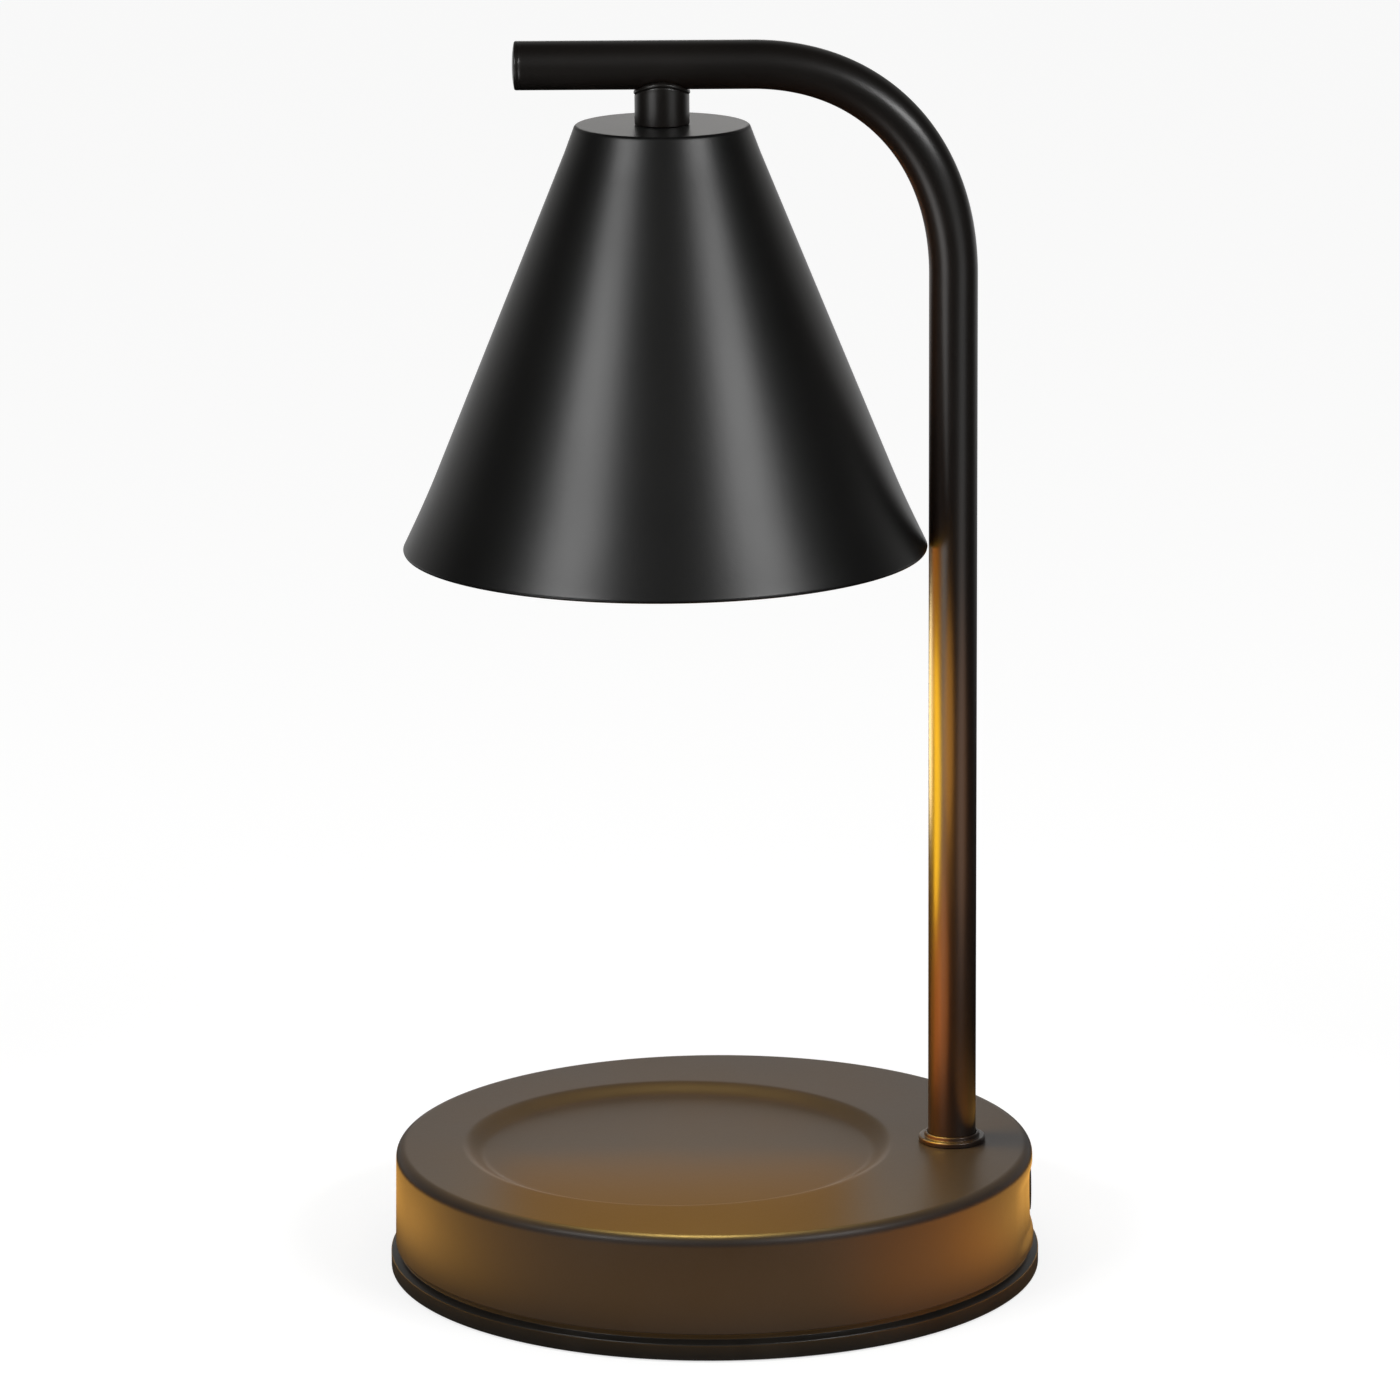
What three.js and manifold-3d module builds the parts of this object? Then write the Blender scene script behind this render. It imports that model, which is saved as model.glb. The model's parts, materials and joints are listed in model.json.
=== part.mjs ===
// Candle warmer lamp: a weighted round base with a candle seat, a bent tube that rises from the
// back of the base and reaches forward, and a conical metal shade that hangs over the seat with a
// twist-lock reflector bulb inside it. Millimetres, +Z up. The origin is the centre of the footprint
// on the surface that the lamp stands on. +X is the back, where the pole stands and the lead enters.
import * as THREE from "three";
import { mergeVertices } from "three/addons/utils/BufferGeometryUtils.js";
import Module from "manifold-3d";

const wasm = await Module();
wasm.setup();

// ---------------------------------------------------------------- driving dimensions (mm)
// base
const RIM_R = 75; // outer radius of the bottom cover's rim: 150 across
const RIM_BOTTOM = 0.5; // the pads hold the rim this far off the table
const RIM_TOP = 4.5;
const WALL_BOTTOM = 5.8; // lower edge of the pressed shell, above a shadow gap
const WALL_R_BOTTOM = 73.9;
const WALL_R_TOP = 73.5;
const BASE_TOP = 28.3;
const SHELL_T = 1.2; // sheet thickness
const SHOULDER_R = 2.4; // rounded upper edge
const SEAT_X = -8.4; // centre of the candle seat
const SEAT_R = 48.8; // outer edge of its sloped border
const SEAT_SLOPE = 3.6;
const SEAT_DEPTH = 2.0;
// lead inlet: a pressed flat in the back of the wall
const FLAT_X = 73.25;
const FLAT_HALF_W = 9.2;
const FLAT_Z0 = 10.6;
const FLAT_Z1 = 23.8;
const INLET_Z = 17.2;
const INLET_HOLE_R = 4.6;
const LEAD_BORE_R = 3.4;
// pole and arm
const POLE_X = 55.0;
const TUBE_R = 5.5;
const TUBE_BORE_R = 4.5;
const ARM_Z = 278.8;
const ARM_END_X = -43.6;
const BEND_A = 45.0; // horizontal reach of the bend
const BEND_B = 47.6; // vertical reach of the bend
const BEND_KA = 27.6;
const BEND_KB = 27.7;
const CAP_T = 1.3;
const COLLAR_R = 7.7;
const COLLAR_T = 1.3;
// shade
const SHADE_X = -10.2;
const SHADE_TOP = 265.4;
const SHADE_BOTTOM = 168.6;
const SHADE_TOP_R = 19.4;
const SHADE_CONE_Z = 186; // the straight cone ends here and the skirt flares a little
const SHADE_RIM_R = 59.7;
const SHADE_T = 1.0;
const NECK_R = 6.15;
// M8 x 1 hollow stems
const STEM_R = 4.0;
const STEM_BORE_R = 2.9;
const NUT_AF = 13;
const NUT_H = 4;
// twist-lock lamp holder and bulb
const HOLDER_TOP = 250.5;
const HOLDER_SPLIT = 245.8;
const HOLDER_FACE = 234.6;
const PIN_PITCH_R = 5.0;
const TWIST_DEG = 35;
const PIN_NECK_R = 1.5;
const PIN_HEAD_R = 2.4;
const BULB_FRONT = 182.0;
const BULB_R = 25.0;
// bottom cover fixings
const POST_R = 40; // pitch radius of the three screws
const POST_ANGLES = [60, 180, 300];
const PAD_PITCH_R = 60;
const WEIGHT_R = 66;
const WEIGHT_Z0 = 17;
const WEIGHT_Z1 = 24;

// ---------------------------------------------------------------- solids
const V2 = (x, y) => new THREE.Vector2(x, y);
const rad = (d) => (d * Math.PI) / 180;

// A closed three.js geometry as a solid that can be cut and joined.
function solid(geometry) {
  const g = new THREE.BufferGeometry();
  g.setAttribute("position", geometry.getAttribute("position"));
  if (geometry.index) g.setIndex(geometry.index);
  const merged = mergeVertices(g, 1e-4);
  const index = merged.index.array;
  const tri = [];
  for (let i = 0; i < index.length; i += 3) {
    const [a, b, c] = [index[i], index[i + 1], index[i + 2]];
    if (a !== b && b !== c && c !== a) tri.push(a, b, c);
  }
  const build = (t) =>
    new wasm.Manifold(
      new wasm.Mesh({
        numProp: 3,
        vertProperties: new Float32Array(merged.attributes.position.array),
        triVerts: new Uint32Array(t),
      }),
    );
  let made = build(tri);
  if (made.volume() < 0) {
    for (let i = 0; i < tri.length; i += 3)
      [tri[i + 1], tri[i + 2]] = [tri[i + 2], tri[i + 1]];
    made = build(tri);
  }
  return made;
}

// A profile of [radius, height] pairs turned round the Z axis through (x, y).
function turned(profile, segments, x = 0, y = 0) {
  const g = new THREE.LatheGeometry(
    profile.map(([r, z]) => V2(r, z)),
    segments,
  );
  g.rotateX(Math.PI / 2);
  g.translate(x, y, 0);
  return solid(g);
}

// A plain round bar or a ring along Z.
function bar(r, z0, z1, segments, x = 0, y = 0) {
  return turned(
    [
      [0, z0],
      [r, z0],
      [r, z1],
      [0, z1],
    ],
    segments,
    x,
    y,
  );
}
function ring(r0, r1, z0, z1, segments, x = 0, y = 0) {
  return turned(
    [
      [r0, z0],
      [r1, z0],
      [r1, z1],
      [r0, z1],
      [r0, z0],
    ],
    segments,
    x,
    y,
  );
}

function block(x0, x1, y0, y1, z0, z1) {
  const g = new THREE.BoxGeometry(x1 - x0, y1 - y0, z1 - z0);
  g.translate((x0 + x1) / 2, (y0 + y1) / 2, (z0 + z1) / 2);
  return solid(g);
}

// A flat outline extruded from z0 to z1, its own origin placed at (x, y).
function plate(shape, z0, z1, x = 0, y = 0, curveSegments = 8) {
  const g = new THREE.ExtrudeGeometry(shape, {
    depth: z1 - z0,
    bevelEnabled: false,
    curveSegments,
  });
  g.translate(x, y, z0);
  return solid(g);
}

// A bar along X.
function barX(r, x0, x1, segments, y, z) {
  const g = new THREE.LatheGeometry(
    [V2(0, x0), V2(r, x0), V2(r, x1), V2(0, x1)],
    segments,
  );
  g.rotateZ(-Math.PI / 2);
  g.translate(0, y, z);
  return solid(g);
}
function turnedX(profile, segments, y, z) {
  const g = new THREE.LatheGeometry(
    profile.map(([r, x]) => V2(r, x)),
    segments,
  );
  g.rotateZ(-Math.PI / 2);
  g.translate(0, y, z);
  return solid(g);
}

// A curve through given stations, one step of an extrusion for each, so that straight stretches
// need no steps of their own.
class StationCurve extends THREE.Curve {
  constructor(points) {
    super();
    this.points = points;
    this.last = points.length - 1;
  }
  getPoint(t, target = new THREE.Vector3()) {
    const s = Math.min(Math.max(t, 0), 1) * this.last;
    const i = Math.min(Math.floor(s), this.last - 1);
    return target.lerpVectors(this.points[i], this.points[i + 1], s - i);
  }
  getPointAt(u, target) {
    return this.getPoint(u, target);
  }
  getTangent(t, target = new THREE.Vector3()) {
    const i = Math.round(Math.min(Math.max(t, 0), 1) * this.last);
    const a = this.points[Math.max(i - 1, 0)];
    const b = this.points[i];
    const c = this.points[Math.min(i + 1, this.last)];
    const before = b.clone().sub(a);
    const after = c.clone().sub(b);
    if (before.lengthSq() > 0) before.normalize();
    if (after.lengthSq() > 0) after.normalize();
    return target.copy(before.add(after)).normalize();
  }
  getTangentAt(u, target) {
    return this.getTangent(u, target);
  }
}

function circleShape(r, sides, holeR = 0, holeSides = 0) {
  const s = new THREE.Shape();
  for (let i = 0; i < sides; i++) {
    const a = (2 * Math.PI * i) / sides;
    if (i === 0) s.moveTo(r * Math.cos(a), r * Math.sin(a));
    else s.lineTo(r * Math.cos(a), r * Math.sin(a));
  }
  s.closePath();
  if (holeR) {
    const h = new THREE.Path();
    for (let i = 0; i < holeSides; i++) {
      const a = (-2 * Math.PI * i) / holeSides;
      if (i === 0) h.moveTo(holeR * Math.cos(a), holeR * Math.sin(a));
      else h.lineTo(holeR * Math.cos(a), holeR * Math.sin(a));
    }
    h.closePath();
    s.holes.push(h);
  }
  return s;
}

function swept(shape, points) {
  return solid(
    new THREE.ExtrudeGeometry(shape, {
      steps: points.length - 1,
      extrudePath: new StationCurve(points),
      bevelEnabled: false,
    }),
  );
}

// A kidney-shaped slot round the holder's axis: from angle a0 to a1 (degrees) on radius rc.
function kidney(rc, half, a0, a1) {
  const s = new THREE.Shape();
  const [b0, b1] = [rad(Math.min(a0, a1)), rad(Math.max(a0, a1))];
  s.absarc(0, 0, rc + half, b0, b1, false);
  s.absarc(
    rc * Math.cos(b1),
    rc * Math.sin(b1),
    half,
    b1,
    b1 + Math.PI,
    false,
  );
  s.absarc(0, 0, rc - half, b1, b0, true);
  s.absarc(
    rc * Math.cos(b0),
    rc * Math.sin(b0),
    half,
    b0 + Math.PI,
    b0 + 2 * Math.PI,
    false,
  );
  return s;
}

function hexShape(af) {
  const s = new THREE.Shape();
  const r = af / 2 / Math.cos(Math.PI / 6);
  for (let i = 0; i < 6; i++) {
    const a = rad(60 * i);
    if (i === 0) s.moveTo(r * Math.cos(a), r * Math.sin(a));
    else s.lineTo(r * Math.cos(a), r * Math.sin(a));
  }
  s.closePath();
  return s;
}

// ---------------------------------------------------------------- the scene graph
const lamp = new THREE.Group();
lamp.name = "candle_warmer_lamp";

function add(name, manifold, colour, roughness, metalness, options = {}) {
  const m = manifold.getMesh();
  const n = m.numProp;
  const p = new Float32Array(m.numVert * 3);
  for (let i = 0; i < m.numVert; i++)
    p.set(m.vertProperties.subarray(i * n, i * n + 3), i * 3);
  const g = new THREE.BufferGeometry();
  g.setAttribute("position", new THREE.BufferAttribute(p, 3));
  g.setIndex(new THREE.BufferAttribute(new Uint32Array(m.triVerts), 1));
  g.computeVertexNormals();
  const mesh = new THREE.Mesh(
    g,
    new THREE.MeshStandardMaterial({
      color: colour,
      roughness,
      metalness,
      ...options,
    }),
  );
  mesh.name = name;
  lamp.add(mesh);
  return mesh;
}

const BLACK = 0x1a1816;
const BRONZE = 0x5a4630;
const ZINC = 0xb9bcc0;
const BRASS = 0xc2a15a;

// ---------------------------------------------------------------- base shell
const wallAt = (z) =>
  WALL_R_BOTTOM +
  ((WALL_R_TOP - WALL_R_BOTTOM) * (z - WALL_BOTTOM)) / (BASE_TOP - WALL_BOTTOM);
const shoulder = [0, 22.5, 45, 67.5, 90].map((a) => [
  wallAt(BASE_TOP - SHOULDER_R) -
    SHOULDER_R +
    SHOULDER_R * Math.cos(rad(a)),
  BASE_TOP - SHOULDER_R + SHOULDER_R * Math.sin(rad(a)),
]);
{
  const BASE_SEG = 48;
  let s = turned(
    [
      [0, WALL_BOTTOM],
      [WALL_R_BOTTOM - 0.3, WALL_BOTTOM],
      [WALL_R_BOTTOM, WALL_BOTTOM + 0.3],
      ...shoulder,
      [0, BASE_TOP],
    ],
    BASE_SEG,
  );
  // the pressed flat round the lead inlet
  s = s.subtract(
    block(FLAT_X, FLAT_X + 5, -FLAT_HALF_W, FLAT_HALF_W, FLAT_Z0, FLAT_Z1),
  );
  // the inside of the can
  const innerTop = BASE_TOP - SHELL_T;
  let inside = turned(
    [
      [0, WALL_BOTTOM - 1],
      [WALL_R_BOTTOM - SHELL_T, WALL_BOTTOM - 1],
      [WALL_R_BOTTOM - SHELL_T, WALL_BOTTOM],
      [wallAt(innerTop) - SHELL_T, innerTop - 1.3],
      [wallAt(innerTop) - SHELL_T - 1.3, innerTop],
      [0, innerTop],
    ],
    48,
  );
  // sheet left under the seat, and behind the flat
  inside = inside.subtract(
    turned(
      [
        [0, BASE_TOP - SEAT_DEPTH - SHELL_T],
        [SEAT_R - SEAT_SLOPE + 0.6, BASE_TOP - SEAT_DEPTH - SHELL_T],
        [SEAT_R + 0.6, innerTop],
        [SEAT_R + 0.6, innerTop + 1],
        [0, innerTop + 1],
      ],
      48,
      SEAT_X,
      0,
    ),
  );
  inside = inside.subtract(
    block(
      FLAT_X - SHELL_T,
      FLAT_X + 5,
      -FLAT_HALF_W - 1.2,
      FLAT_HALF_W + 1.2,
      FLAT_Z0 - 1.2,
      FLAT_Z1 + 1.0,
    ),
  );
  s = s.subtract(inside);
  // the seat
  s = s.subtract(
    turned(
      [
        [0, BASE_TOP - SEAT_DEPTH],
        [SEAT_R - SEAT_SLOPE, BASE_TOP - SEAT_DEPTH],
        [SEAT_R - SEAT_SLOPE / 2, BASE_TOP - SEAT_DEPTH / 2],
        [SEAT_R, BASE_TOP],
        [SEAT_R, BASE_TOP + 1],
        [0, BASE_TOP + 1],
      ],
      48,
      SEAT_X,
      0,
    ),
  );
  // holes for the pole's stem and the lead bush
  s = s.subtract(bar(STEM_R + 0.3, BASE_TOP - 4, BASE_TOP + 1, 16, POLE_X, 0));
  s = s.subtract(barX(INLET_HOLE_R, FLAT_X - 3, FLAT_X + 1, 20, 0, INLET_Z));
  add("base_shell", s, BRONZE, 0.45, 0.6);
}

// ---------------------------------------------------------------- lead bush, flush with the flat
{
  let s = barX(INLET_HOLE_R - 0.3, FLAT_X - 3.0, FLAT_X - 0.05, 20, 0, INLET_Z);
  s = s.add(
    barX(INLET_HOLE_R + 1.8, FLAT_X - 3.0, FLAT_X - SHELL_T - 0.2, 20, 0, INLET_Z),
  );
  s = s.subtract(barX(LEAD_BORE_R, FLAT_X - 5, FLAT_X + 1, 16, 0, INLET_Z));
  add("lead_inlet_bush", s, 0x111111, 0.8, 0);
}

// ---------------------------------------------------------------- bottom cover
{
  const SEG = 48;
  const SPIGOT_R = WALL_R_BOTTOM - SHELL_T - 0.3;
  let s = turned(
    [
      [0, RIM_BOTTOM],
      [RIM_R - 0.8, RIM_BOTTOM],
      [RIM_R, RIM_BOTTOM + 0.8],
      [RIM_R, RIM_TOP - 1.0],
      [RIM_R - 0.3, RIM_TOP - 0.3],
      [RIM_R - 1.0, RIM_TOP],
      [WALL_R_BOTTOM - 0.8, RIM_TOP],
      [WALL_R_BOTTOM - 0.8, WALL_BOTTOM - 0.1],
      [SPIGOT_R, WALL_BOTTOM - 0.1],
      [SPIGOT_R, 9.2],
      [SPIGOT_R - 1.8, 9.2],
      [SPIGOT_R - 1.8, 3.2],
      [0, 3.2],
    ],
    SEG,
  );
  for (const a of POST_ANGLES) {
    const [x, y] = [POST_R * Math.cos(rad(a)), POST_R * Math.sin(rad(a))];
    s = s.add(bar(6.0, 2.0, WEIGHT_Z0 - 0.1, 16, x, y));
  }
  for (const a of POST_ANGLES) {
    const [x, y] = [POST_R * Math.cos(rad(a)), POST_R * Math.sin(rad(a))];
    s = s.subtract(bar(4.4, -1, 4.2, 16, x, y));
    s = s.subtract(bar(2.3, 0, WEIGHT_Z0 + 1, 12, x, y));
  }
  for (const a of [45, 135, 225, 315]) {
    const [x, y] = [
      PAD_PITCH_R * Math.cos(rad(a)),
      PAD_PITCH_R * Math.sin(rad(a)),
    ];
    s = s.subtract(bar(7.3, -1, 1.5, 16, x, y));
  }
  add("base_bottom_cover", s, BLACK, 0.3, 0);
}

// ---------------------------------------------------------------- non-slip pads
[
  ["pad_back_right", 45],
  ["pad_front_right", 135],
  ["pad_front_left", 225],
  ["pad_back_left", 315],
].forEach(([name, a]) => {
  const [x, y] = [
    PAD_PITCH_R * Math.cos(rad(a)),
    PAD_PITCH_R * Math.sin(rad(a)),
  ];
  add(
    name,
    turned(
      [
        [0, 0],
        [6.6, 0],
        [7.0, 0.4],
        [7.0, 1.45],
        [0, 1.45],
      ],
      16,
      x,
      y,
    ),
    0x141414,
    0.9,
    0,
  );
});

// ---------------------------------------------------------------- cast weight
{
  let s = turned(
    [
      [0, WEIGHT_Z0],
      [WEIGHT_R - 0.8, WEIGHT_Z0],
      [WEIGHT_R, WEIGHT_Z0 + 0.8],
      [WEIGHT_R, WEIGHT_Z1 - 0.8],
      [WEIGHT_R - 0.8, WEIGHT_Z1],
      [0, WEIGHT_Z1],
    ],
    36,
  );
  const bossTop = BASE_TOP - SHELL_T - 0.1;
  s = s.add(bar(10.5, WEIGHT_Z1 - 1, bossTop, 20, POLE_X, 0));
  for (const a of [120, 240])
    s = s.add(
      bar(5.5, WEIGHT_Z1 - 1, bossTop, 12, 60 * Math.cos(rad(a)), 60 * Math.sin(rad(a))),
    );
  s = s.subtract(bar(STEM_R + 0.3, 10, 30, 16, POLE_X, 0));
  for (const a of POST_ANGLES)
    s = s.subtract(
      bar(2.25, 10, WEIGHT_Z1 - 1.5, 12, POST_R * Math.cos(rad(a)), POST_R * Math.sin(rad(a))),
    );
  add("base_weight", s, 0x4a4a4c, 0.85, 0.4);
}

// ---------------------------------------------------------------- cover screws, cross recess
POST_ANGLES.forEach((a, i) => {
  const [x, y] = [POST_R * Math.cos(rad(a)), POST_R * Math.sin(rad(a))];
  let s = turned(
    [
      [0, 1.4],
      [2.6, 1.5],
      [3.6, 2.4],
      [3.6, 4.0],
      [2.0, 4.0],
      [2.0, 21.0],
      [1.4, 21.8],
      [0, 21.8],
    ],
    12,
    x,
    y,
  );
  s = s.subtract(block(x - 1.9, x + 1.9, y - 0.45, y + 0.45, 0, 2.9));
  s = s.subtract(block(x - 0.45, x + 0.45, y - 1.9, y + 1.9, 0, 2.9));
  add("cover_screw_" + (i + 1), s, ZINC, 0.35, 1);
});

// ---------------------------------------------------------------- pole and arm, one bent tube
const bendPoints = [];
{
  const p0 = [POLE_X - BEND_A, ARM_Z];
  const p1 = [POLE_X - BEND_A + BEND_KA, ARM_Z];
  const p2 = [POLE_X, ARM_Z - BEND_B + BEND_KB];
  const p3 = [POLE_X, ARM_Z - BEND_B];
  const N = 10;
  for (let i = 0; i <= N; i++) {
    const t = i / N;
    const w = [(1 - t) ** 3, 3 * (1 - t) ** 2 * t, 3 * (1 - t) * t * t, t ** 3];
    bendPoints.push(
      new THREE.Vector3(
        w[0] * p0[0] + w[1] * p1[0] + w[2] * p2[0] + w[3] * p3[0],
        0,
        w[0] * p0[1] + w[1] * p1[1] + w[2] * p2[1] + w[3] * p3[1],
      ),
    );
  }
}
const TUBE_FOOT = BASE_TOP + COLLAR_T + 0.15;
{
  const path = [
    new THREE.Vector3(ARM_END_X + CAP_T + 0.15, 0, ARM_Z),
    new THREE.Vector3(SHADE_X, 0, ARM_Z),
    ...bendPoints,
    new THREE.Vector3(POLE_X, 0, 130),
    new THREE.Vector3(POLE_X, 0, TUBE_FOOT),
  ];
  let s = swept(circleShape(TUBE_R, 20, TUBE_BORE_R, 16), path);
  // way for the two wires down into the neck
  s = s.subtract(bar(STEM_BORE_R + 0.4, ARM_Z - 8, ARM_Z - 2.5, 12, SHADE_X, 0));
  add("pole_arm_tube", s, 0x2a2320, 0.4, 0.5);
}

// ---------------------------------------------------------------- arm end cap
add(
  "arm_end_cap",
  turnedX(
    [
      [0, ARM_END_X],
      [TUBE_R - 0.9, ARM_END_X],
      [TUBE_R - 0.25, ARM_END_X + 0.25],
      [TUBE_R, ARM_END_X + 0.8],
      [TUBE_R, ARM_END_X + CAP_T],
      [TUBE_BORE_R - 0.25, ARM_END_X + CAP_T],
      [TUBE_BORE_R - 0.25, ARM_END_X + CAP_T + 6],
      [TUBE_BORE_R - 0.6, ARM_END_X + CAP_T + 6.6],
      [0, ARM_END_X + CAP_T + 6.6],
    ],
    20,
    0,
    ARM_Z,
  ),
  BLACK,
  0.4,
  0.3,
);

// ---------------------------------------------------------------- collar at the pole's foot
add(
  "pole_collar",
  turned(
    [
      [STEM_R + 0.4, BASE_TOP + 0.05],
      [COLLAR_R - 0.2, BASE_TOP + 0.05],
      [COLLAR_R, BASE_TOP + 0.25],
      [COLLAR_R, BASE_TOP + 0.95],
      [COLLAR_R - 0.35, BASE_TOP + COLLAR_T],
      [TUBE_R + 0.95, BASE_TOP + COLLAR_T + 0.05],
      [TUBE_R + 0.75, BASE_TOP + COLLAR_T + 0.65],
      [TUBE_R + 0.2, BASE_TOP + COLLAR_T + 0.9],
      [TUBE_R + 0.2, BASE_TOP + COLLAR_T],
      [STEM_R + 0.4, BASE_TOP + COLLAR_T],
      [STEM_R + 0.4, BASE_TOP + 0.05],
    ],
    20,
    POLE_X,
    0,
  ),
  BLACK,
  0.35,
  0.5,
);

// ---------------------------------------------------------------- pole stem, washer and nut
add(
  "pole_stem",
  turned(
    [
      [STEM_BORE_R, 10.6],
      [STEM_R - 0.4, 10.6],
      [STEM_R, 11.0],
      [STEM_R, TUBE_FOOT],
      [TUBE_BORE_R - 0.25, TUBE_FOOT],
      [TUBE_BORE_R - 0.25, TUBE_FOOT + 14],
      [STEM_BORE_R, TUBE_FOOT + 14],
      [STEM_BORE_R, 10.6],
    ],
    16,
    POLE_X,
    0,
  ),
  ZINC,
  0.4,
  1,
);
add(
  "pole_washer",
  ring(STEM_R + 0.3, 9.0, WEIGHT_Z0 - 1.3, WEIGHT_Z0 - 0.1, 20, POLE_X, 0),
  ZINC,
  0.35,
  1,
);
add(
  "pole_nut",
  plate(
    hexShape(NUT_AF),
    WEIGHT_Z0 - 1.4 - NUT_H,
    WEIGHT_Z0 - 1.4,
    POLE_X,
    0,
  ).subtract(bar(STEM_R + 0.2, 5, 30, 16, POLE_X, 0)),
  ZINC,
  0.35,
  1,
);

// ---------------------------------------------------------------- neck under the arm
{
  let s = ring(STEM_R + 0.3, NECK_R, SHADE_TOP + 0.1, ARM_Z, 20, SHADE_X, 0);
  // rounded upper outline seen from the side of the lamp
  const g = new THREE.CylinderGeometry(10.0, 10.0, 40, 40);
  g.translate(SHADE_X, 0, 275.3 - 10.0);
  s = s.intersect(solid(g));
  // saddle for the arm
  s = s.subtract(barX(TUBE_R + 0.1, -40, 20, 20, 0, ARM_Z));
  add("shade_neck", s, BLACK, 0.4, 0.4);
}

// ---------------------------------------------------------------- shade
const CONE_SLOPE = 0.4075;
const coneR = (z) => SHADE_TOP_R + CONE_SLOPE * (SHADE_TOP - z);
const skirt = (z) => {
  const u = (SHADE_CONE_Z - z) / (SHADE_CONE_Z - SHADE_BOTTOM);
  const extra = SHADE_RIM_R - coneR(SHADE_BOTTOM);
  return coneR(z) + extra * u * u * (1.4 - 0.4 * u);
};
{
  const topR = SHADE_TOP_R;
  const outer = [
    [STEM_R + 0.3, SHADE_TOP],
    [topR - 0.8, SHADE_TOP],
    [topR + 0.2, SHADE_TOP - 0.7],
    [coneR(SHADE_CONE_Z), SHADE_CONE_Z],
    [skirt(177), 177],
    [SHADE_RIM_R, SHADE_BOTTOM + 0.4],
    [SHADE_RIM_R - 0.5, SHADE_BOTTOM],
    [SHADE_RIM_R - 1.1, SHADE_BOTTOM + 0.2],
  ];
  const inner = [
    [skirt(177) - SHADE_T * 1.1, 177],
    [coneR(SHADE_CONE_Z) - SHADE_T * 1.08, SHADE_CONE_Z],
    [topR - SHADE_T, SHADE_TOP - SHADE_T],
    [STEM_R + 0.3, SHADE_TOP - SHADE_T],
  ];
  add(
    "shade",
    turned([...outer, ...inner, outer[0]], 48, SHADE_X, 0),
    BLACK,
    0.42,
    0.3,
  );
}

// ---------------------------------------------------------------- shade stem, washer and nut
const STRAP_Z0 = 261.5;
const STRAP_Z1 = 262.7;
add(
  "shade_stem",
  turned(
    [
      [STEM_BORE_R, 256.6],
      [STEM_R - 0.4, 256.6],
      [STEM_R, 257.0],
      [STEM_R, 271.4],
      [STEM_R - 0.4, 271.8],
      [STEM_BORE_R, 271.8],
      [STEM_BORE_R, 256.6],
    ],
    16,
    SHADE_X,
    0,
  ),
  ZINC,
  0.4,
  1,
);
add(
  "shade_washer",
  ring(STEM_R + 0.3, 12.0, STRAP_Z1 + 0.1, SHADE_TOP - SHADE_T - 0.1, 24, SHADE_X, 0),
  ZINC,
  0.35,
  1,
);
add(
  "shade_nut",
  plate(
    hexShape(NUT_AF),
    STRAP_Z0 - 0.1 - NUT_H,
    STRAP_Z0 - 0.1,
    SHADE_X,
    0,
  ).subtract(bar(STEM_R + 0.2, 250, 270, 16, SHADE_X, 0)),
  ZINC,
  0.35,
  1,
);

// ---------------------------------------------------------------- holder bracket
{
  const W = 6;
  const T = 1.2;
  const LEG = 11.4;
  const FOOT = 17.0;
  let s = block(SHADE_X - LEG, SHADE_X + LEG, -W, W, STRAP_Z0, STRAP_Z1);
  for (const k of [-1, 1]) {
    const [a, b] = [k * LEG, k * (LEG - T)].sort((p, q) => p - q);
    s = s.add(
      block(SHADE_X + a, SHADE_X + b, -W, W, HOLDER_TOP + 0.1, STRAP_Z1),
    );
    const [c, d] = [k * (LEG - T), k * FOOT].sort((p, q) => p - q);
    s = s.add(
      block(
        SHADE_X + c,
        SHADE_X + d,
        -W,
        W,
        HOLDER_TOP + 0.1,
        HOLDER_TOP + 0.1 + T,
      ),
    );
  }
  s = s.subtract(bar(STEM_R + 0.3, 250, 270, 16, SHADE_X, 0));
  for (const k of [-1, 1])
    s = s.subtract(bar(1.9, 248, 254, 12, SHADE_X + k * 14.3, 0));
  add("socket_bracket", s, ZINC, 0.4, 1);
}

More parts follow.
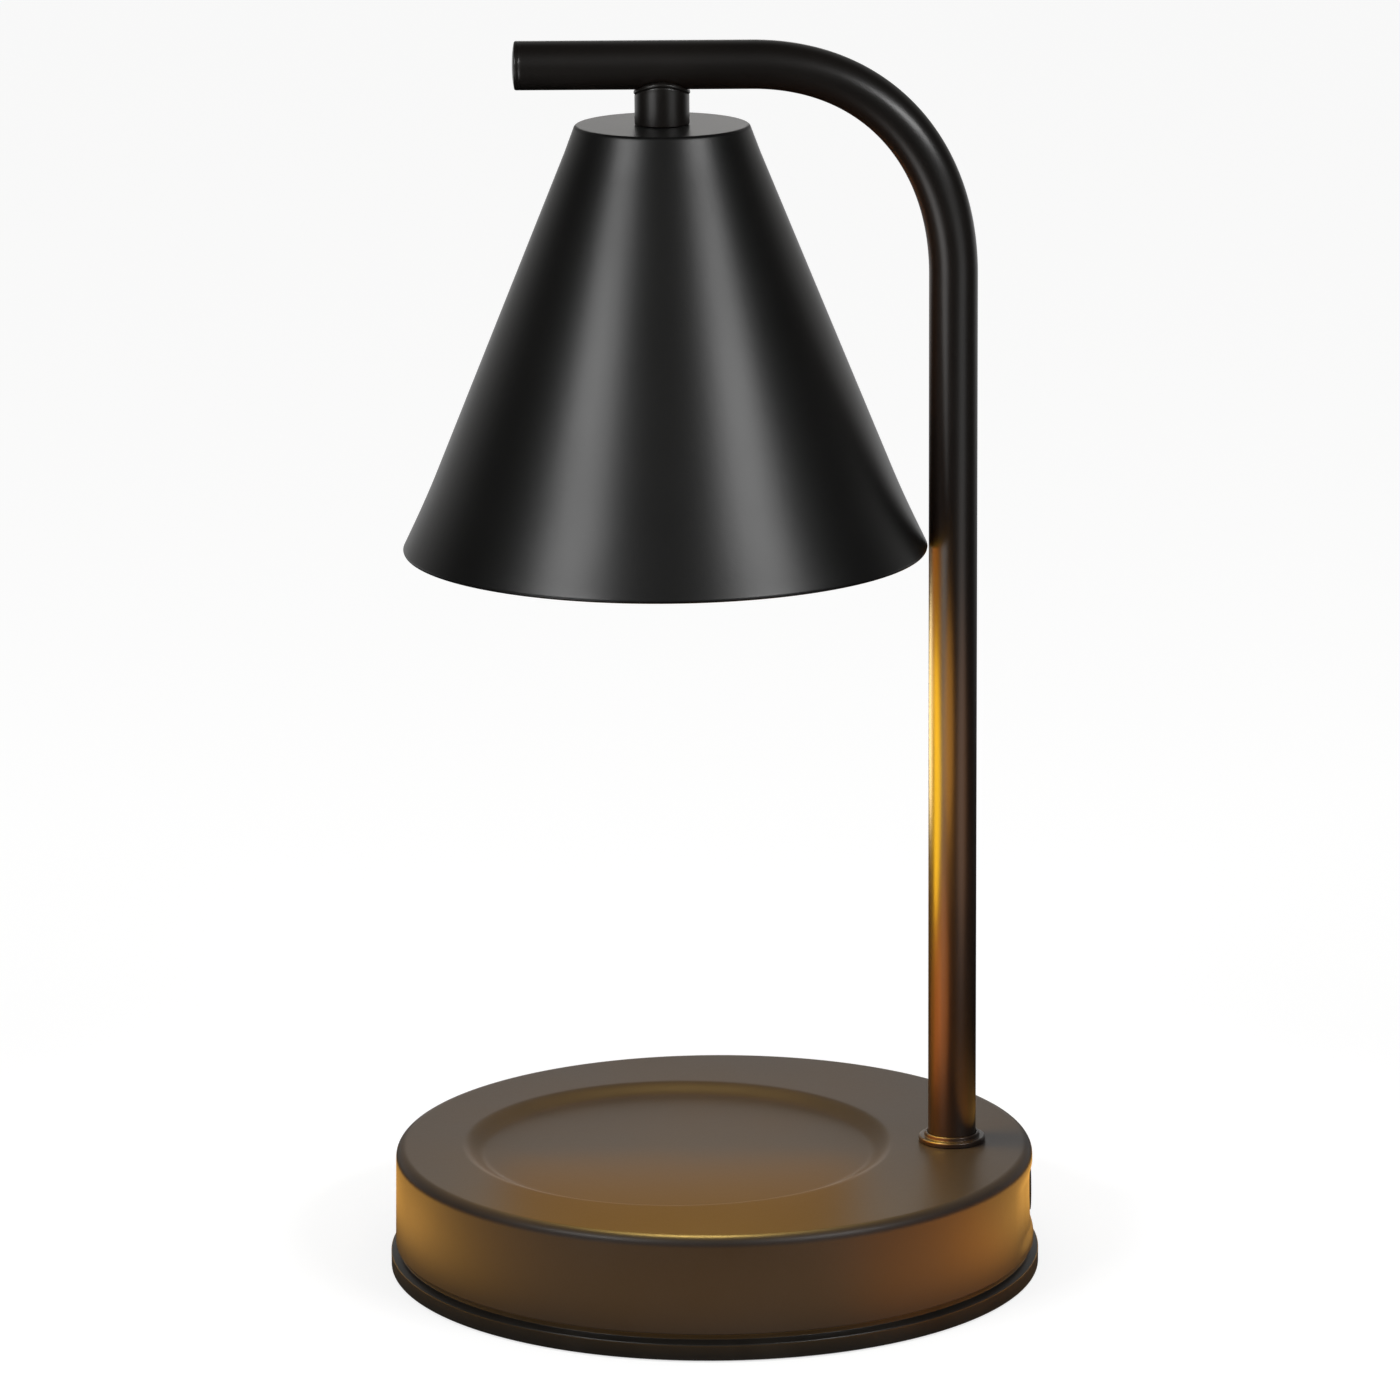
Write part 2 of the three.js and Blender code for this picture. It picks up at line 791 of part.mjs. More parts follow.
// ---------------------------------------------------------------- ceramic lamp holder
function stadium(halfLength, halfWidth) {
  const s = new THREE.Shape();
  const c = halfLength - halfWidth;
  s.absarc(c, 0, halfWidth, -Math.PI / 2, Math.PI / 2, false);
  s.absarc(-c, 0, halfWidth, Math.PI / 2, (3 * Math.PI) / 2, false);
  return s;
}
const PINS = [0, 180];
{
  let s = plate(stadium(17.6, 11.5), HOLDER_FACE, HOLDER_SPLIT - 0.05, SHADE_X, 0, 7);
  for (const a of PINS) {
    // the bulb is locked at a and enters at a - TWIST_DEG
    s = s.subtract(
      plate(
        kidney(PIN_PITCH_R, PIN_NECK_R + 0.3, a - TWIST_DEG, a),
        HOLDER_FACE - 1,
        HOLDER_FACE + 5,
        SHADE_X,
        0,
        4,
      ),
    );
    s = s.subtract(
      bar(
        PIN_HEAD_R + 0.35,
        HOLDER_FACE - 1,
        HOLDER_FACE + 5,
        12,
        SHADE_X + PIN_PITCH_R * Math.cos(rad(a - TWIST_DEG)),
        PIN_PITCH_R * Math.sin(rad(a - TWIST_DEG)),
      ),
    );
    s = s.subtract(
      plate(
        kidney(PIN_PITCH_R, PIN_HEAD_R + 0.4, a - TWIST_DEG - 2, a + 2),
        HOLDER_FACE + 3.4,
        HOLDER_SPLIT + 1,
        SHADE_X,
        0,
        4,
      ),
    );
  }
  for (const k of [-1, 1])
    s = s.subtract(bar(1.9, 240, 250, 12, SHADE_X + k * 14.3, 0));
  add("socket_body", s, 0xe9e4da, 0.5, 0);
}
{
  let s = plate(stadium(17.6, 11.5), HOLDER_SPLIT + 0.05, HOLDER_TOP, SHADE_X, 0, 7);
  for (const k of [-1, 1]) {
    s = s.subtract(bar(1.9, 240, 260, 12, SHADE_X + k * 14.3, 0));
    s = s.subtract(bar(1.5, 240, 260, 12, SHADE_X + k * PIN_PITCH_R, 0));
  }
  add("socket_cover", s, 0xe9e4da, 0.5, 0);
}
for (const [i, k] of [
  [1, -1],
  [2, 1],
]) {
  const x = SHADE_X + k * 14.3;
  let s = turned(
    [
      [0, 241.0],
      [1.0, 241.4],
      [1.5, 242.2],
      [1.5, HOLDER_TOP + 1.4],
      [2.8, HOLDER_TOP + 1.4],
      [2.8, HOLDER_TOP + 2.4],
      [2.0, HOLDER_TOP + 3.2],
      [0, HOLDER_TOP + 3.4],
    ],
    12,
    x,
    0,
  );
  s = s.subtract(
    block(x - 1.6, x + 1.6, -0.35, 0.35, HOLDER_TOP + 2.3, HOLDER_TOP + 5),
  );
  add("socket_screw_" + i, s, ZINC, 0.35, 1);
}
// spring contacts over the pin heads
for (const [i, k] of [
  [1, -1],
  [2, 1],
]) {
  const x = SHADE_X + k * PIN_PITCH_R;
  let s = block(x - 2.0, x + 2.0, -2.0, 2.0, 241.9, 242.5);
  s = s.add(block(x - 2.0, x + 2.0, 1.4, 2.0, 241.9, 245.2));
  s = s.add(block(x - 2.0, x + 2.0, -1.2, 2.0, 244.6, 245.2));
  add("socket_contact_" + i, s, BRASS, 0.3, 1);
}

// ---------------------------------------------------------------- reflector bulb (turns to lock)
add(
  "bulb_base",
  turned(
    [
      [0, 222.6],
      [9.9, 222.6],
      [10.2, 223.4],
      [9.4, 233.5],
      [8.6, 234.3],
      [0, 234.3],
    ],
    24,
    SHADE_X,
    0,
  ),
  0xe8e6e0,
  0.55,
  0,
);
add(
  "bulb_reflector",
  turned(
    [
      [6.0, 222.4],
      [10.2, 222.4],
      [12.6, 217.0],
      [17.3, 208.0],
      [21.4, 198.0],
      [BULB_R, 185.4],
      [BULB_R, BULB_FRONT],
      [BULB_R - 1.0, BULB_FRONT],
      [BULB_R - 1.0, BULB_FRONT + 3.0],
      [BULB_R - 2.6, BULB_FRONT + 3.0],
      [18.6, 199.5],
      [14.4, 208.0],
      [6.0, 218.4],
      [6.0, 222.4],
    ],
    28,
    SHADE_X,
    0,
  ),
  0xd9d9d6,
  0.1,
  0.7,
);
add(
  "bulb_front_glass",
  turned(
    [
      [0, BULB_FRONT + 0.5],
      [BULB_R - 1.6, BULB_FRONT + 0.6],
      [BULB_R - 1.2, BULB_FRONT + 1.0],
      [BULB_R - 1.2, BULB_FRONT + 2.6],
      [0, BULB_FRONT + 2.6],
    ],
    28,
    SHADE_X,
    0,
  ),
  0xf2efe8,
  0.25,
  0,
  { transparent: true, opacity: 0.5 },
);
add(
  "bulb_capsule",
  turned(
    [
      [0, 222.2],
      [4.4, 222.2],
      [4.4, 215.0],
      [5.4, 212.0],
      [5.4, 203.5],
      [4.2, 200.4],
      [1.8, 198.6],
      [0, 198.2],
    ],
    16,
    SHADE_X,
    0,
  ),
  0xfff1d0,
  0.1,
  0,
  { transparent: true, opacity: 0.7 },
);
PINS.forEach((a, i) => {
  add(
    "bulb_pin_" + (i + 1),
    turned(
      [
        [0, 234.4],
        [PIN_NECK_R, 234.4],
        [PIN_NECK_R, 238.8],
        [PIN_HEAD_R, 238.9],
        [PIN_HEAD_R, 241.0],
        [PIN_HEAD_R - 0.5, 241.5],
        [0, 241.5],
      ],
      12,
      SHADE_X + PIN_PITCH_R * Math.cos(rad(a)),
      PIN_PITCH_R * Math.sin(rad(a)),
    ),
    ZINC,
    0.25,
    1,
  );
});

// ---------------------------------------------------------------- the two wires inside the tube
const WIRE_R = 0.95;
for (const [name, k] of [
  ["lamp_wire_live", 1],
  ["lamp_wire_neutral", -1],
]) {
  const side = 1.3 * k;
  const raw = [
    [SHADE_X + 5 * k, 0, 245.6],
    [SHADE_X + 5 * k, 0, 250.6],
    [SHADE_X + 4.5 * k, 0.3 * k, 252.4],
    [SHADE_X + 3.0 * k, 0.8 * k, 254.4],
    [SHADE_X + 1.3 * k, 1.2 * k, 256.2],
    [SHADE_X + 0.3 * k, side, 258.6],
    [SHADE_X, side, 262.0],
    [SHADE_X, side, 270.6],
    [SHADE_X + 0.4, side, 273.2],
    [SHADE_X + 1.6, side, 275.8],
    [SHADE_X + 3.8, side, 277.9],
    [SHADE_X + 7.0, side, 278.8],
    ...bendPoints.map((p) => [p.x, side, p.z]),
    [POLE_X, side, 130],
    [POLE_X, side, 20],
    [POLE_X, side, 11.0],
    [POLE_X - 0.6, side, 8.9],
    [POLE_X - 2.2, 1.6 * k, 7.2],
    [POLE_X - 4.8, 2.2 * k, 6.4],
    [POLE_X - 8.5, 3.6 * k, 6.3],
    [POLE_X - 12.0, 5.0 * k, 6.5],
    [POLE_X - 15.0, 5.8 * k, 6.8],
    [POLE_X - 18.5, 6.0 * k, 6.9],
  ];
  add(
    name,
    swept(
      circleShape(WIRE_R, 8),
      raw.map((p) => new THREE.Vector3(...p)),
    ),
    k > 0 ? 0x9b2d20 : 0xdedbd2,
    0.6,
    0,
  );
  // closed-end crimp cap that joins the wire to the lead
  add(
    k > 0 ? "splice_cap_live" : "splice_cap_neutral",
    turnedX(
      [
        [0, 20.0],
        [2.0, 20.0],
        [2.7, 20.8],
        [3.0, 30.0],
        [3.6, 33.0],
        [3.6, 38.5],
        [2.7, 38.5],
        [2.4, 36.2],
        [0, 36.2],
      ],
      12,
      6.0 * k,
      6.9,
    ),
    0xc9c4b4,
    0.5,
    0,
  );
}

export default lamp;
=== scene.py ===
# Looks of the warmer lamp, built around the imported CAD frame. Lengths in the helpers are in
# millimetres, in the CAD frame, and become metres when a mesh is made.
import json
import math

import bmesh
import bpy
from mathutils import Matrix, Vector

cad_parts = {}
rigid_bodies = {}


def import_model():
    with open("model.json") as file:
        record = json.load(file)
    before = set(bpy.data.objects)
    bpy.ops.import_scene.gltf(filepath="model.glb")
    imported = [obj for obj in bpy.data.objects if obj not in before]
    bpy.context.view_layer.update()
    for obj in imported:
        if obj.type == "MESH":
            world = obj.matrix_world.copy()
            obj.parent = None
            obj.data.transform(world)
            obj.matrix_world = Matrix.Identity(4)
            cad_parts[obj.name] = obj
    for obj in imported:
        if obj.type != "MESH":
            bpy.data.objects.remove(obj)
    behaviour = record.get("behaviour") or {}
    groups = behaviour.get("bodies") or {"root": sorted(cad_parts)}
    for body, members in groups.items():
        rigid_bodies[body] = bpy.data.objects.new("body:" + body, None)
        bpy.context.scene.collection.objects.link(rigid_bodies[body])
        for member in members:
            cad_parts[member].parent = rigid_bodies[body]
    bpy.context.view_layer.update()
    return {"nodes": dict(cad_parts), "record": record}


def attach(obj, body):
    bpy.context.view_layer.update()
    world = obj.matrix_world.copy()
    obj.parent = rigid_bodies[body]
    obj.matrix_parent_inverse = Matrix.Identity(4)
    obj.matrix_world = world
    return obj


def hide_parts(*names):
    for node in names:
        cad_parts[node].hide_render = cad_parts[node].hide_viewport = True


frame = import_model()
NODES = frame["nodes"]
MM = 0.001
scene = bpy.context.scene

# ------------------------------------------------------------------ camera
CAM_AT = Vector((0.0, -1.5424, 0.49576))
CAM_TO = Vector((-0.002585, 0.0, 0.133147))
CAM_ROLL = -0.00664
camera_data = bpy.data.cameras.new("camera")
camera_data.sensor_fit = "HORIZONTAL"
camera_data.sensor_width = 36.0
camera_data.lens = 178.77
camera_data.clip_start, camera_data.clip_end = 0.05, 60.0
camera = bpy.data.objects.new("camera", camera_data)
scene.collection.objects.link(camera)
ahead = (CAM_TO - CAM_AT).normalized()
right = ahead.cross(Vector((0, 0, 1))).normalized()
up = right.cross(ahead)
cos_r, sin_r = math.cos(CAM_ROLL), math.sin(CAM_ROLL)
cam_x = right * cos_r + up * sin_r
cam_y = up * cos_r - right * sin_r
camera.matrix_world = Matrix(
    (
        (cam_x.x, cam_y.x, -ahead.x, CAM_AT.x),
        (cam_x.y, cam_y.y, -ahead.y, CAM_AT.y),
        (cam_x.z, cam_y.z, -ahead.z, CAM_AT.z),
        (0, 0, 0, 1),
    )
)
scene.camera = camera
scene.view_settings.view_transform = "Standard"
scene.view_settings.look = "None"


# ------------------------------------------------------------------ mesh helpers
def rounded(points, closed=False, n=5, support=0.3):
    """A profile of (a, b) or (a, b, radius) corners with each radius turned into an arc, and a
    support point a little before and after it, so that flat stretches shade flat."""
    pts = [tuple(p) + (0.0,) * (3 - len(p)) for p in points]
    out = []
    count = len(pts)
    for i, (a, b, r) in enumerate(pts):
        if r <= 0 or (not closed and i in (0, count - 1)):
            out.append((a, b))
            continue
        p = Vector((a, b))
        before = Vector(pts[(i - 1) % count][:2]) - p
        after = Vector(pts[(i + 1) % count][:2]) - p
        lb, la = before.length, after.length
        before, after = before / lb, after / la
        angle = before.angle(after)
        if angle > math.pi - 1e-3:
            out.append((a, b))
            continue
        t = min(r / math.tan(angle / 2), 0.42 * lb, 0.42 * la)
        r = t * math.tan(angle / 2)
        start, end = p + before * t, p + after * t
        bisector = (before + after).normalized()
        centre = p + bisector * (r / math.sin(angle / 2))
        s = min(support, 0.35 * (min(lb, la) - t))
        if s > 0.02:
            out.append(tuple(start + before * s))
        va, vb = start - centre, end - centre
        turn = math.atan2(va.x * vb.y - va.y * vb.x, va.dot(vb))
        for k in range(n + 1):
            w = turn * k / n
            out.append(
                (
                    centre.x + va.x * math.cos(w) - va.y * math.sin(w),
                    centre.y + va.x * math.sin(w) + va.y * math.cos(w),
                )
            )
        if s > 0.02:
            out.append(tuple(end + after * s))
    clean = [out[0]]
    for q in out[1:]:
        if math.dist(q, clean[-1]) > 1e-4:
            clean.append(q)
    if closed and math.dist(clean[0], clean[-1]) < 1e-4:
        clean.pop()
    return clean


def lathe_data(profile, seg, closed, place):
    """Vertices and faces of a profile turned round an axis. place maps (radius, height, angle)."""
    verts, faces, rows = [], [], []
    for r, h in profile:
        if r < 1e-6:
            rows.append([len(verts)])
            verts.append(place(0.0, h, 0.0))
        else:
            first = len(verts)
            for k in range(seg):
                verts.append(place(r, h, 2 * math.pi * k / seg))
            rows.append(list(range(first, first + seg)))
    pairs = list(zip(rows, rows[1:]))
    if closed:
        pairs.append((rows[-1], rows[0]))
    for a, b in pairs:
        for k in range(seg):
            j = (k + 1) % seg
            if len(a) == 1 and len(b) == 1:
                continue
            if len(a) == 1:
                faces.append((a[0], b[k], b[j]))
            elif len(b) == 1:
                faces.append((a[k], b[0], a[j]))
            else:
                faces.append((a[k], b[k], b[j], a[j]))
    return verts, faces


def round_z(x=0.0, y=0.0):
    return lambda r, h, w: (x + r * math.cos(w), y + r * math.sin(w), h)


def round_x(y=0.0, z=0.0):
    return lambda r, h, w: (h, y + r * math.cos(w), z + r * math.sin(w))


def mesh_of(name, verts, faces):
    me = bpy.data.meshes.new(name)
    me.from_pydata([(x * MM, y * MM, z * MM) for x, y, z in verts], [], faces)
    bm = bmesh.new()
    bm.from_mesh(me)
    bmesh.ops.recalc_face_normals(bm, faces=bm.faces)
    bm.to_mesh(me)
    bm.free()
    ob = bpy.data.objects.new(name, me)
    scene.collection.objects.link(ob)
    return ob


def lathe(name, profile, seg=96, closed=False, place=None):
    return mesh_of(name, *lathe_data(profile, seg, closed, place or round_z()))


def bake_modifiers(ob):
    bpy.context.view_layer.update()
    graph = bpy.context.evaluated_depsgraph_get()
    made = bpy.data.meshes.new_from_object(ob.evaluated_get(graph))
    old = ob.data
    ob.modifiers.clear()
    ob.data = made
    made.name = ob.name
    bpy.data.meshes.remove(old)


def cut(ob, *cutters, operation="DIFFERENCE"):
    """Boolean with each cutter in turn; the cutters are removed."""
    for c in cutters:
        m = ob.modifiers.new("cut", "BOOLEAN")
        m.operation, m.solver, m.object = operation, "EXACT", c
        bake_modifiers(ob)
        mesh = c.data
        bpy.data.objects.remove(c)
        bpy.data.meshes.remove(mesh)
    return ob


def rod(r, z0, z1, x=0.0, y=0.0, seg=48):
    return lathe("cutter", [(0, z0), (r, z0), (r, z1), (0, z1)], seg, place=round_z(x, y))


def rod_x(r, x0, x1, y=0.0, z=0.0, seg=64):
    return lathe("cutter", [(0, x0), (r, x0), (r, x1), (0, x1)], seg, place=round_x(y, z))


def slab(x0, x1, y0, y1, z0, z1):
    v = [(x, y, z) for x in (x0, x1) for y in (y0, y1) for z in (z0, z1)]
    f = [(0, 1, 3, 2), (4, 6, 7, 5), (0, 4, 5, 1), (2, 3, 7, 6), (0, 2, 6, 4), (1, 5, 7, 3)]
    return mesh_of("cutter", v, f)


def prism(name, outline, z0, z1, fillet=0.0, steps=3, border=0.25):
    """An outline of (x, y) points, counter-clockwise, extruded along Z, its two rims rounded."""
    n = len(outline)
    normals = []
    for i in range(n):
        a, b = Vector(outline[i - 1]), Vector(outline[(i + 1) % n])
        t = (b - a).normalized()
        normals.append(Vector((t.y, -t.x)))
    rows = []
    if fillet > 0:
        levels = [
            (fillet * (1 - math.sin(w)), z0 + fillet * (1 - math.cos(w)))
            for w in [math.pi / 2 * k / steps for k in range(steps + 1)]
        ]
        levels += [(0, z0 + fillet + 0.2), (0, z1 - fillet - 0.2)]
        levels += [
            (fillet * (1 - math.cos(w)), z1 - fillet * (1 - math.sin(w)))
            for w in [math.pi / 2 * k / steps for k in range(steps + 1)]
        ]
        if border > 0:
            levels = [(fillet + border, z0)] + levels + [(fillet + border, z1)]
    else:
        levels = [(0, z0), (0, z1)]
    verts = []
    for inset, z in levels:
        rows.append(len(verts))
        for p, m in zip(outline, normals):
            verts.append((p[0] - m.x * inset, p[1] - m.y * inset, z))
    faces = [tuple(range(rows[0] + n - 1, rows[0] - 1, -1)), tuple(range(rows[-1], rows[-1] + n))]
    for a, b in zip(rows, rows[1:]):
        for i in range(n):
            j = (i + 1) % n
            faces.append((a + i, a + j, b + j, b + i))
    return mesh_of(name, verts, faces)


def sweep(name, path, radius, sides, bore=0.0, ease=0.0):
    """A round rod or tube along a path of (x, y, z) points, its frame carried along without twist."""
    pts = [Vector(p) for p in path]
    tangents = []
    for i in range(len(pts)):
        a, b = pts[max(i - 1, 0)], pts[min(i + 1, len(pts) - 1)]
        tangents.append((b - a).normalized())
    side = Vector((0, 1, 0))
    side = (side - tangents[0] * side.dot(tangents[0])).normalized()
    frames = []
    for t in tangents:
        side = (side - t * side.dot(t)).normalized()
        frames.append((side.copy(), t.cross(side)))
    verts, faces = [], []

    def wall(r_of):
        first = len(verts)
        for i, (p, (s, m)) in enumerate(zip(pts, frames)):
            r = r_of(i)
            for k in range(sides):
                w = 2 * math.pi * k / sides
                verts.append(tuple(p + s * (r * math.cos(w)) + m * (r * math.sin(w))))
        for i in range(len(pts) - 1):
            for k in range(sides):
                a, b = first + i * sides + k, first + i * sides + (k + 1) % sides
                faces.append((a, b, b + sides, a + sides))
        return first, first + (len(pts) - 1) * sides

    last = len(pts) - 1
    outer = wall(lambda i: radius - (ease if ease and i in (0, last) else 0.0))
    if bore:
        inner = wall(lambda i: bore)
        for a, b in zip(outer, inner):
            for k in range(sides):
                j = (k + 1) % sides
                faces.append((a + k, a + j, b + j, b + k))
    else:
        for a in outer:
            faces.append(tuple(range(a, a + sides)))
    return mesh_of(name, verts, faces)


def catmull(points, per=6):
    """A smooth curve through given points."""
    p = [Vector(q) for q in points]
    p = [p[0] * 2 - p[1]] + p + [p[-1] * 2 - p[-2]]
    out = []
    for i in range(1, len(p) - 2):
        a, b, c, d = p[i - 1 : i + 3]
        for k in range(per):
            t = k / per
            out.append(
                0.5
                * (
                    2 * b
                    + (c - a) * t
                    + (2 * a - 5 * b + 4 * c - d) * t * t
                    + (3 * b - a - 3 * c + d) * t**3
                )
            )
    out.append(p[-2])
    return [tuple(q) for q in out]


def settle(ob, node, body, angle=30.0, mat=None):
    """Shades a new piece, gives it its material and puts it in its CAD node's place."""
    me = ob.data
    me.shade_smooth()
    me.set_sharp_from_angle(angle=math.radians(angle))
    me.materials.clear()
    me.materials.append(mat)
    nodes = [node] if isinstance(node, str) else list(node)
    ob.name = nodes[0] + "_fine"
    me.name = ob.name
    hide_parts(*nodes)
    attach(ob, body)
    return ob


# ------------------------------------------------------------------ material helpers
class Look:
    """A Principled material built from procedural nodes on object coordinates, in metres."""

    def __init__(self, name, **values):
        self.m = bpy.data.materials.new(name)
        self.m.use_nodes = True
        self.nt = self.m.node_tree
        self.nt.nodes.clear()
        self.end = self.add("ShaderNodeOutputMaterial")
        self.bsdf = self.add("ShaderNodeBsdfPrincipled")
        self.link(self.bsdf.outputs[0], self.end.inputs["Surface"])
        self.co = self.add("ShaderNodeTexCoord").outputs["Object"]
        for key, value in values.items():
            self.bsdf.inputs[key.replace("_", " ")].default_value = value

    def add(self, kind):
        return self.nt.nodes.new(kind)

    def link(self, a, b):
        self.nt.links.new(a, b)

    def put(self, socket, value):
        if isinstance(value, bpy.types.NodeSocket):
            self.link(value, socket)
        else:
            socket.default_value = value

    def scaled(self, x=1.0, y=1.0, z=1.0, turn=(0, 0, 0)):
        n = self.add("ShaderNodeMapping")
        n.inputs["Scale"].default_value = (x, y, z)
        n.inputs["Rotation"].default_value = turn
        self.link(self.co, n.inputs["Vector"])
        return n.outputs[0]

    def noise(self, scale, detail=3.0, rough=0.5, co=None, distortion=0.0):
        n = self.add("ShaderNodeTexNoise")
        n.inputs["Scale"].default_value = scale
        n.inputs["Detail"].default_value = detail
        n.inputs["Roughness"].default_value = rough
        n.inputs["Distortion"].default_value = distortion
        self.link(co or self.co, n.inputs["Vector"])
        return n.outputs[0]

    def cells(self, scale, feature="F1", co=None, randomness=1.0, output="Distance"):
        n = self.add("ShaderNodeTexVoronoi")
        n.feature = feature
        n.inputs["Scale"].default_value = scale
        n.inputs["Randomness"].default_value = randomness
        self.link(co or self.co, n.inputs["Vector"])
        return n.outputs[output]

    def ramp(self, fac, *stops):
        n = self.add("ShaderNodeValToRGB")
        e = n.color_ramp.elements
        while len(e) < len(stops):
            e.new(0.5)
        for el, (p, c) in zip(e, stops):
            el.position = p
            el.color = (*c, 1.0) if len(c) == 3 else c
        self.link(fac, n.inputs["Fac"])
        return n.outputs["Color"]

    def span(self, fac, a, b, c, d, smooth=False):
        n = self.add("ShaderNodeMapRange")
        n.interpolation_type = "SMOOTHSTEP" if smooth else "LINEAR"
        self.link(fac, n.inputs["Value"])
        for key, v in zip(("From Min", "From Max", "To Min", "To Max"), (a, b, c, d)):
            n.inputs[key].default_value = v
        return n.outputs["Result"]

    def math(self, op, a, b=0.0, c=0.0):
        n = self.add("ShaderNodeMath")
        n.operation = op
        for socket, v in zip(n.inputs, (a, b, c)):
            self.put(socket, v)
        return n.outputs[0]

    def mix(self, fac, a, b, blend="MIX"):
        n = self.add("ShaderNodeMix")
        n.data_type, n.blend_type = "RGBA", blend
        for key, v in ((0, fac), (6, a), (7, b)):
            if isinstance(v, tuple) and len(v) == 3:
                v = (*v, 1.0)
            self.put(n.inputs[key], v)
        return n.outputs[2]

    def axis(self, which, co=None):
        n = self.add("ShaderNodeSeparateXYZ")
        self.link(co or self.co, n.inputs[0])
        return n.outputs[which]

    def radius(self, x=0.0, y=0.0):
        """Distance from a vertical axis, in metres."""
        dx = self.math("SUBTRACT", self.axis("X"), x)
        dy = self.math("SUBTRACT", self.axis("Y"), y)
        return self.math("SQRT", self.math("ADD", self.math("MULTIPLY", dx, dx), self.math("MULTIPLY", dy, dy)))

    def bump(self, height, strength, distance, under=None):
        n = self.add("ShaderNodeBump")
        n.inputs["Strength"].default_value = strength
        n.inputs["Distance"].default_value = distance
        self.link(height, n.inputs["Height"])
        if under is not None:
            self.link(under, n.inputs["Normal"])
        return n.outputs[0]

    def give(self, **sockets):
        for key, out in sockets.items():
            self.link(out, self.bsdf.inputs[key.replace("_", " ")])
        return self.m


def paint(name, dark, light, rough, spread, grain, strength, **values):
    """Sprayed satin paint: slow drift of tone and gloss, a fine orange peel and a finer grain."""
    k = Look(name, **values)
    drift = k.noise(28.0, 4.0, 0.55)
    fine = k.noise(grain, 3.0, 0.6)
    peel = k.noise(grain * 0.22, 2.0, 0.5)
    colour = k.ramp(k.math("ADD", k.math("MULTIPLY", drift, 0.7), k.math("MULTIPLY", fine, 0.3)),
                    (0.36, dark), (0.64, light))
    gloss = k.span(k.math("ADD", k.math("MULTIPLY", drift, 0.5), k.math("MULTIPLY", fine, 0.5)),
                   0.3, 0.7, rough - spread, rough + spread)
    b = k.bump(peel, strength * 0.6, 0.00006)
    b = k.bump(fine, strength, 0.000025, b)
    return k, colour, gloss, b


def shade_look():
    k, colour, gloss, b = paint("shade_satin_black", (0.0030, 0.0030, 0.0028), (0.0044, 0.0043, 0.0040),
                                0.36, 0.02, 2600.0, 0.25)
    return k.give(Base_Color=colour, Roughness=gloss, Normal=b)


def tube_look():
    k, colour, gloss, b = paint("tube_satin_black", (0.0050, 0.0040, 0.0033), (0.0078, 0.0063, 0.0053),
                                0.33, 0.03, 2400.0, 0.28)
    return k.give(Base_Color=colour, Roughness=gloss, Normal=b)


def base_look():
    k, colour, gloss, b = paint("base_satin_bronze", (0.0180, 0.0128, 0.0098), (0.0250, 0.0178, 0.0138),
                                0.44, 0.03, 2200.0, 0.30, Specular_IOR_Level=0.42)
    return k.give(Base_Color=colour, Roughness=gloss, Normal=b)


def moulded(name, dark, light, rough, scale, strength, spread=0.045, **values):
    """Moulded plastic: even colour with faint flow marks and a fine spark texture."""
    k = Look(name, **values)
    flow = k.noise(60.0, 3.0, 0.5, k.scaled(1, 1, 0.3), 0.6)
    spark = k.noise(scale, 2.0, 0.5)
    colour = k.ramp(flow, (0.35, dark), (0.65, light))
    gloss = k.span(spark, 0.3, 0.7, rough - spread, rough + spread)
    return k.give(Base_Color=colour, Roughness=gloss, Normal=k.bump(spark, strength, 0.00003))


def rubber_look():
    k = Look("rubber_matt", Specular_IOR_Level=0.3)
    flow = k.noise(240.0, 3.0, 0.6)
    grit = k.cells(3200.0)
    colour = k.ramp(flow, (0.35, (0.009, 0.009, 0.009)), (0.65, (0.016, 0.016, 0.0155)))
    gloss = k.span(grit, 0.0, 0.6, 0.74, 0.88)
    return k.give(Base_Color=colour, Roughness=gloss, Normal=k.bump(grit, 0.4, 0.00006))


def iron_look():
    k = Look("iron_as_cast", Metallic=0.7)
    lumps = k.noise(420.0, 5.0, 0.6)
    pits = k.cells(900.0)
    colour = k.ramp(lumps, (0.3, (0.045, 0.044, 0.044)), (0.7, (0.10, 0.098, 0.096)))
    gloss = k.span(lumps, 0.3, 0.7, 0.55, 0.75)
    b = k.bump(pits, 0.35, 0.00015)
    return k.give(Base_Color=colour, Roughness=gloss, Normal=k.bump(lumps, 0.5, 0.0002, b))


def zinc_look():
    k = Look("zinc_plated", Metallic=1.0)
    cloud = k.noise(160.0, 4.0, 0.6)
    spangle = k.cells(1400.0, output="Color")
    brush = k.noise(900.0, 3.0, 0.6, k.scaled(1, 1, 0.08))
    tone = k.ramp(cloud, (0.3, (0.44, 0.46, 0.47)), (0.7, (0.62, 0.62, 0.60)))
    colour = k.mix(0.10, tone, spangle, "OVERLAY")
    gloss = k.span(brush, 0.3, 0.7, 0.26, 0.40)
    return k.give(Base_Color=colour, Roughness=gloss, Normal=k.bump(brush, 0.12, 0.00003))


def brass_look():
    k = Look("brass_strip", Metallic=1.0)
    cloud = k.noise(300.0, 4.0, 0.6)
    roll = k.noise(1200.0, 3.0, 0.6, k.scaled(0.06, 1, 1))
    colour = k.ramp(cloud, (0.3, (0.62, 0.42, 0.16)), (0.7, (0.76, 0.56, 0.27)))
    gloss = k.span(roll, 0.3, 0.7, 0.22, 0.36)
    return k.give(Base_Color=colour, Roughness=gloss, Normal=k.bump(roll, 0.12, 0.00003))


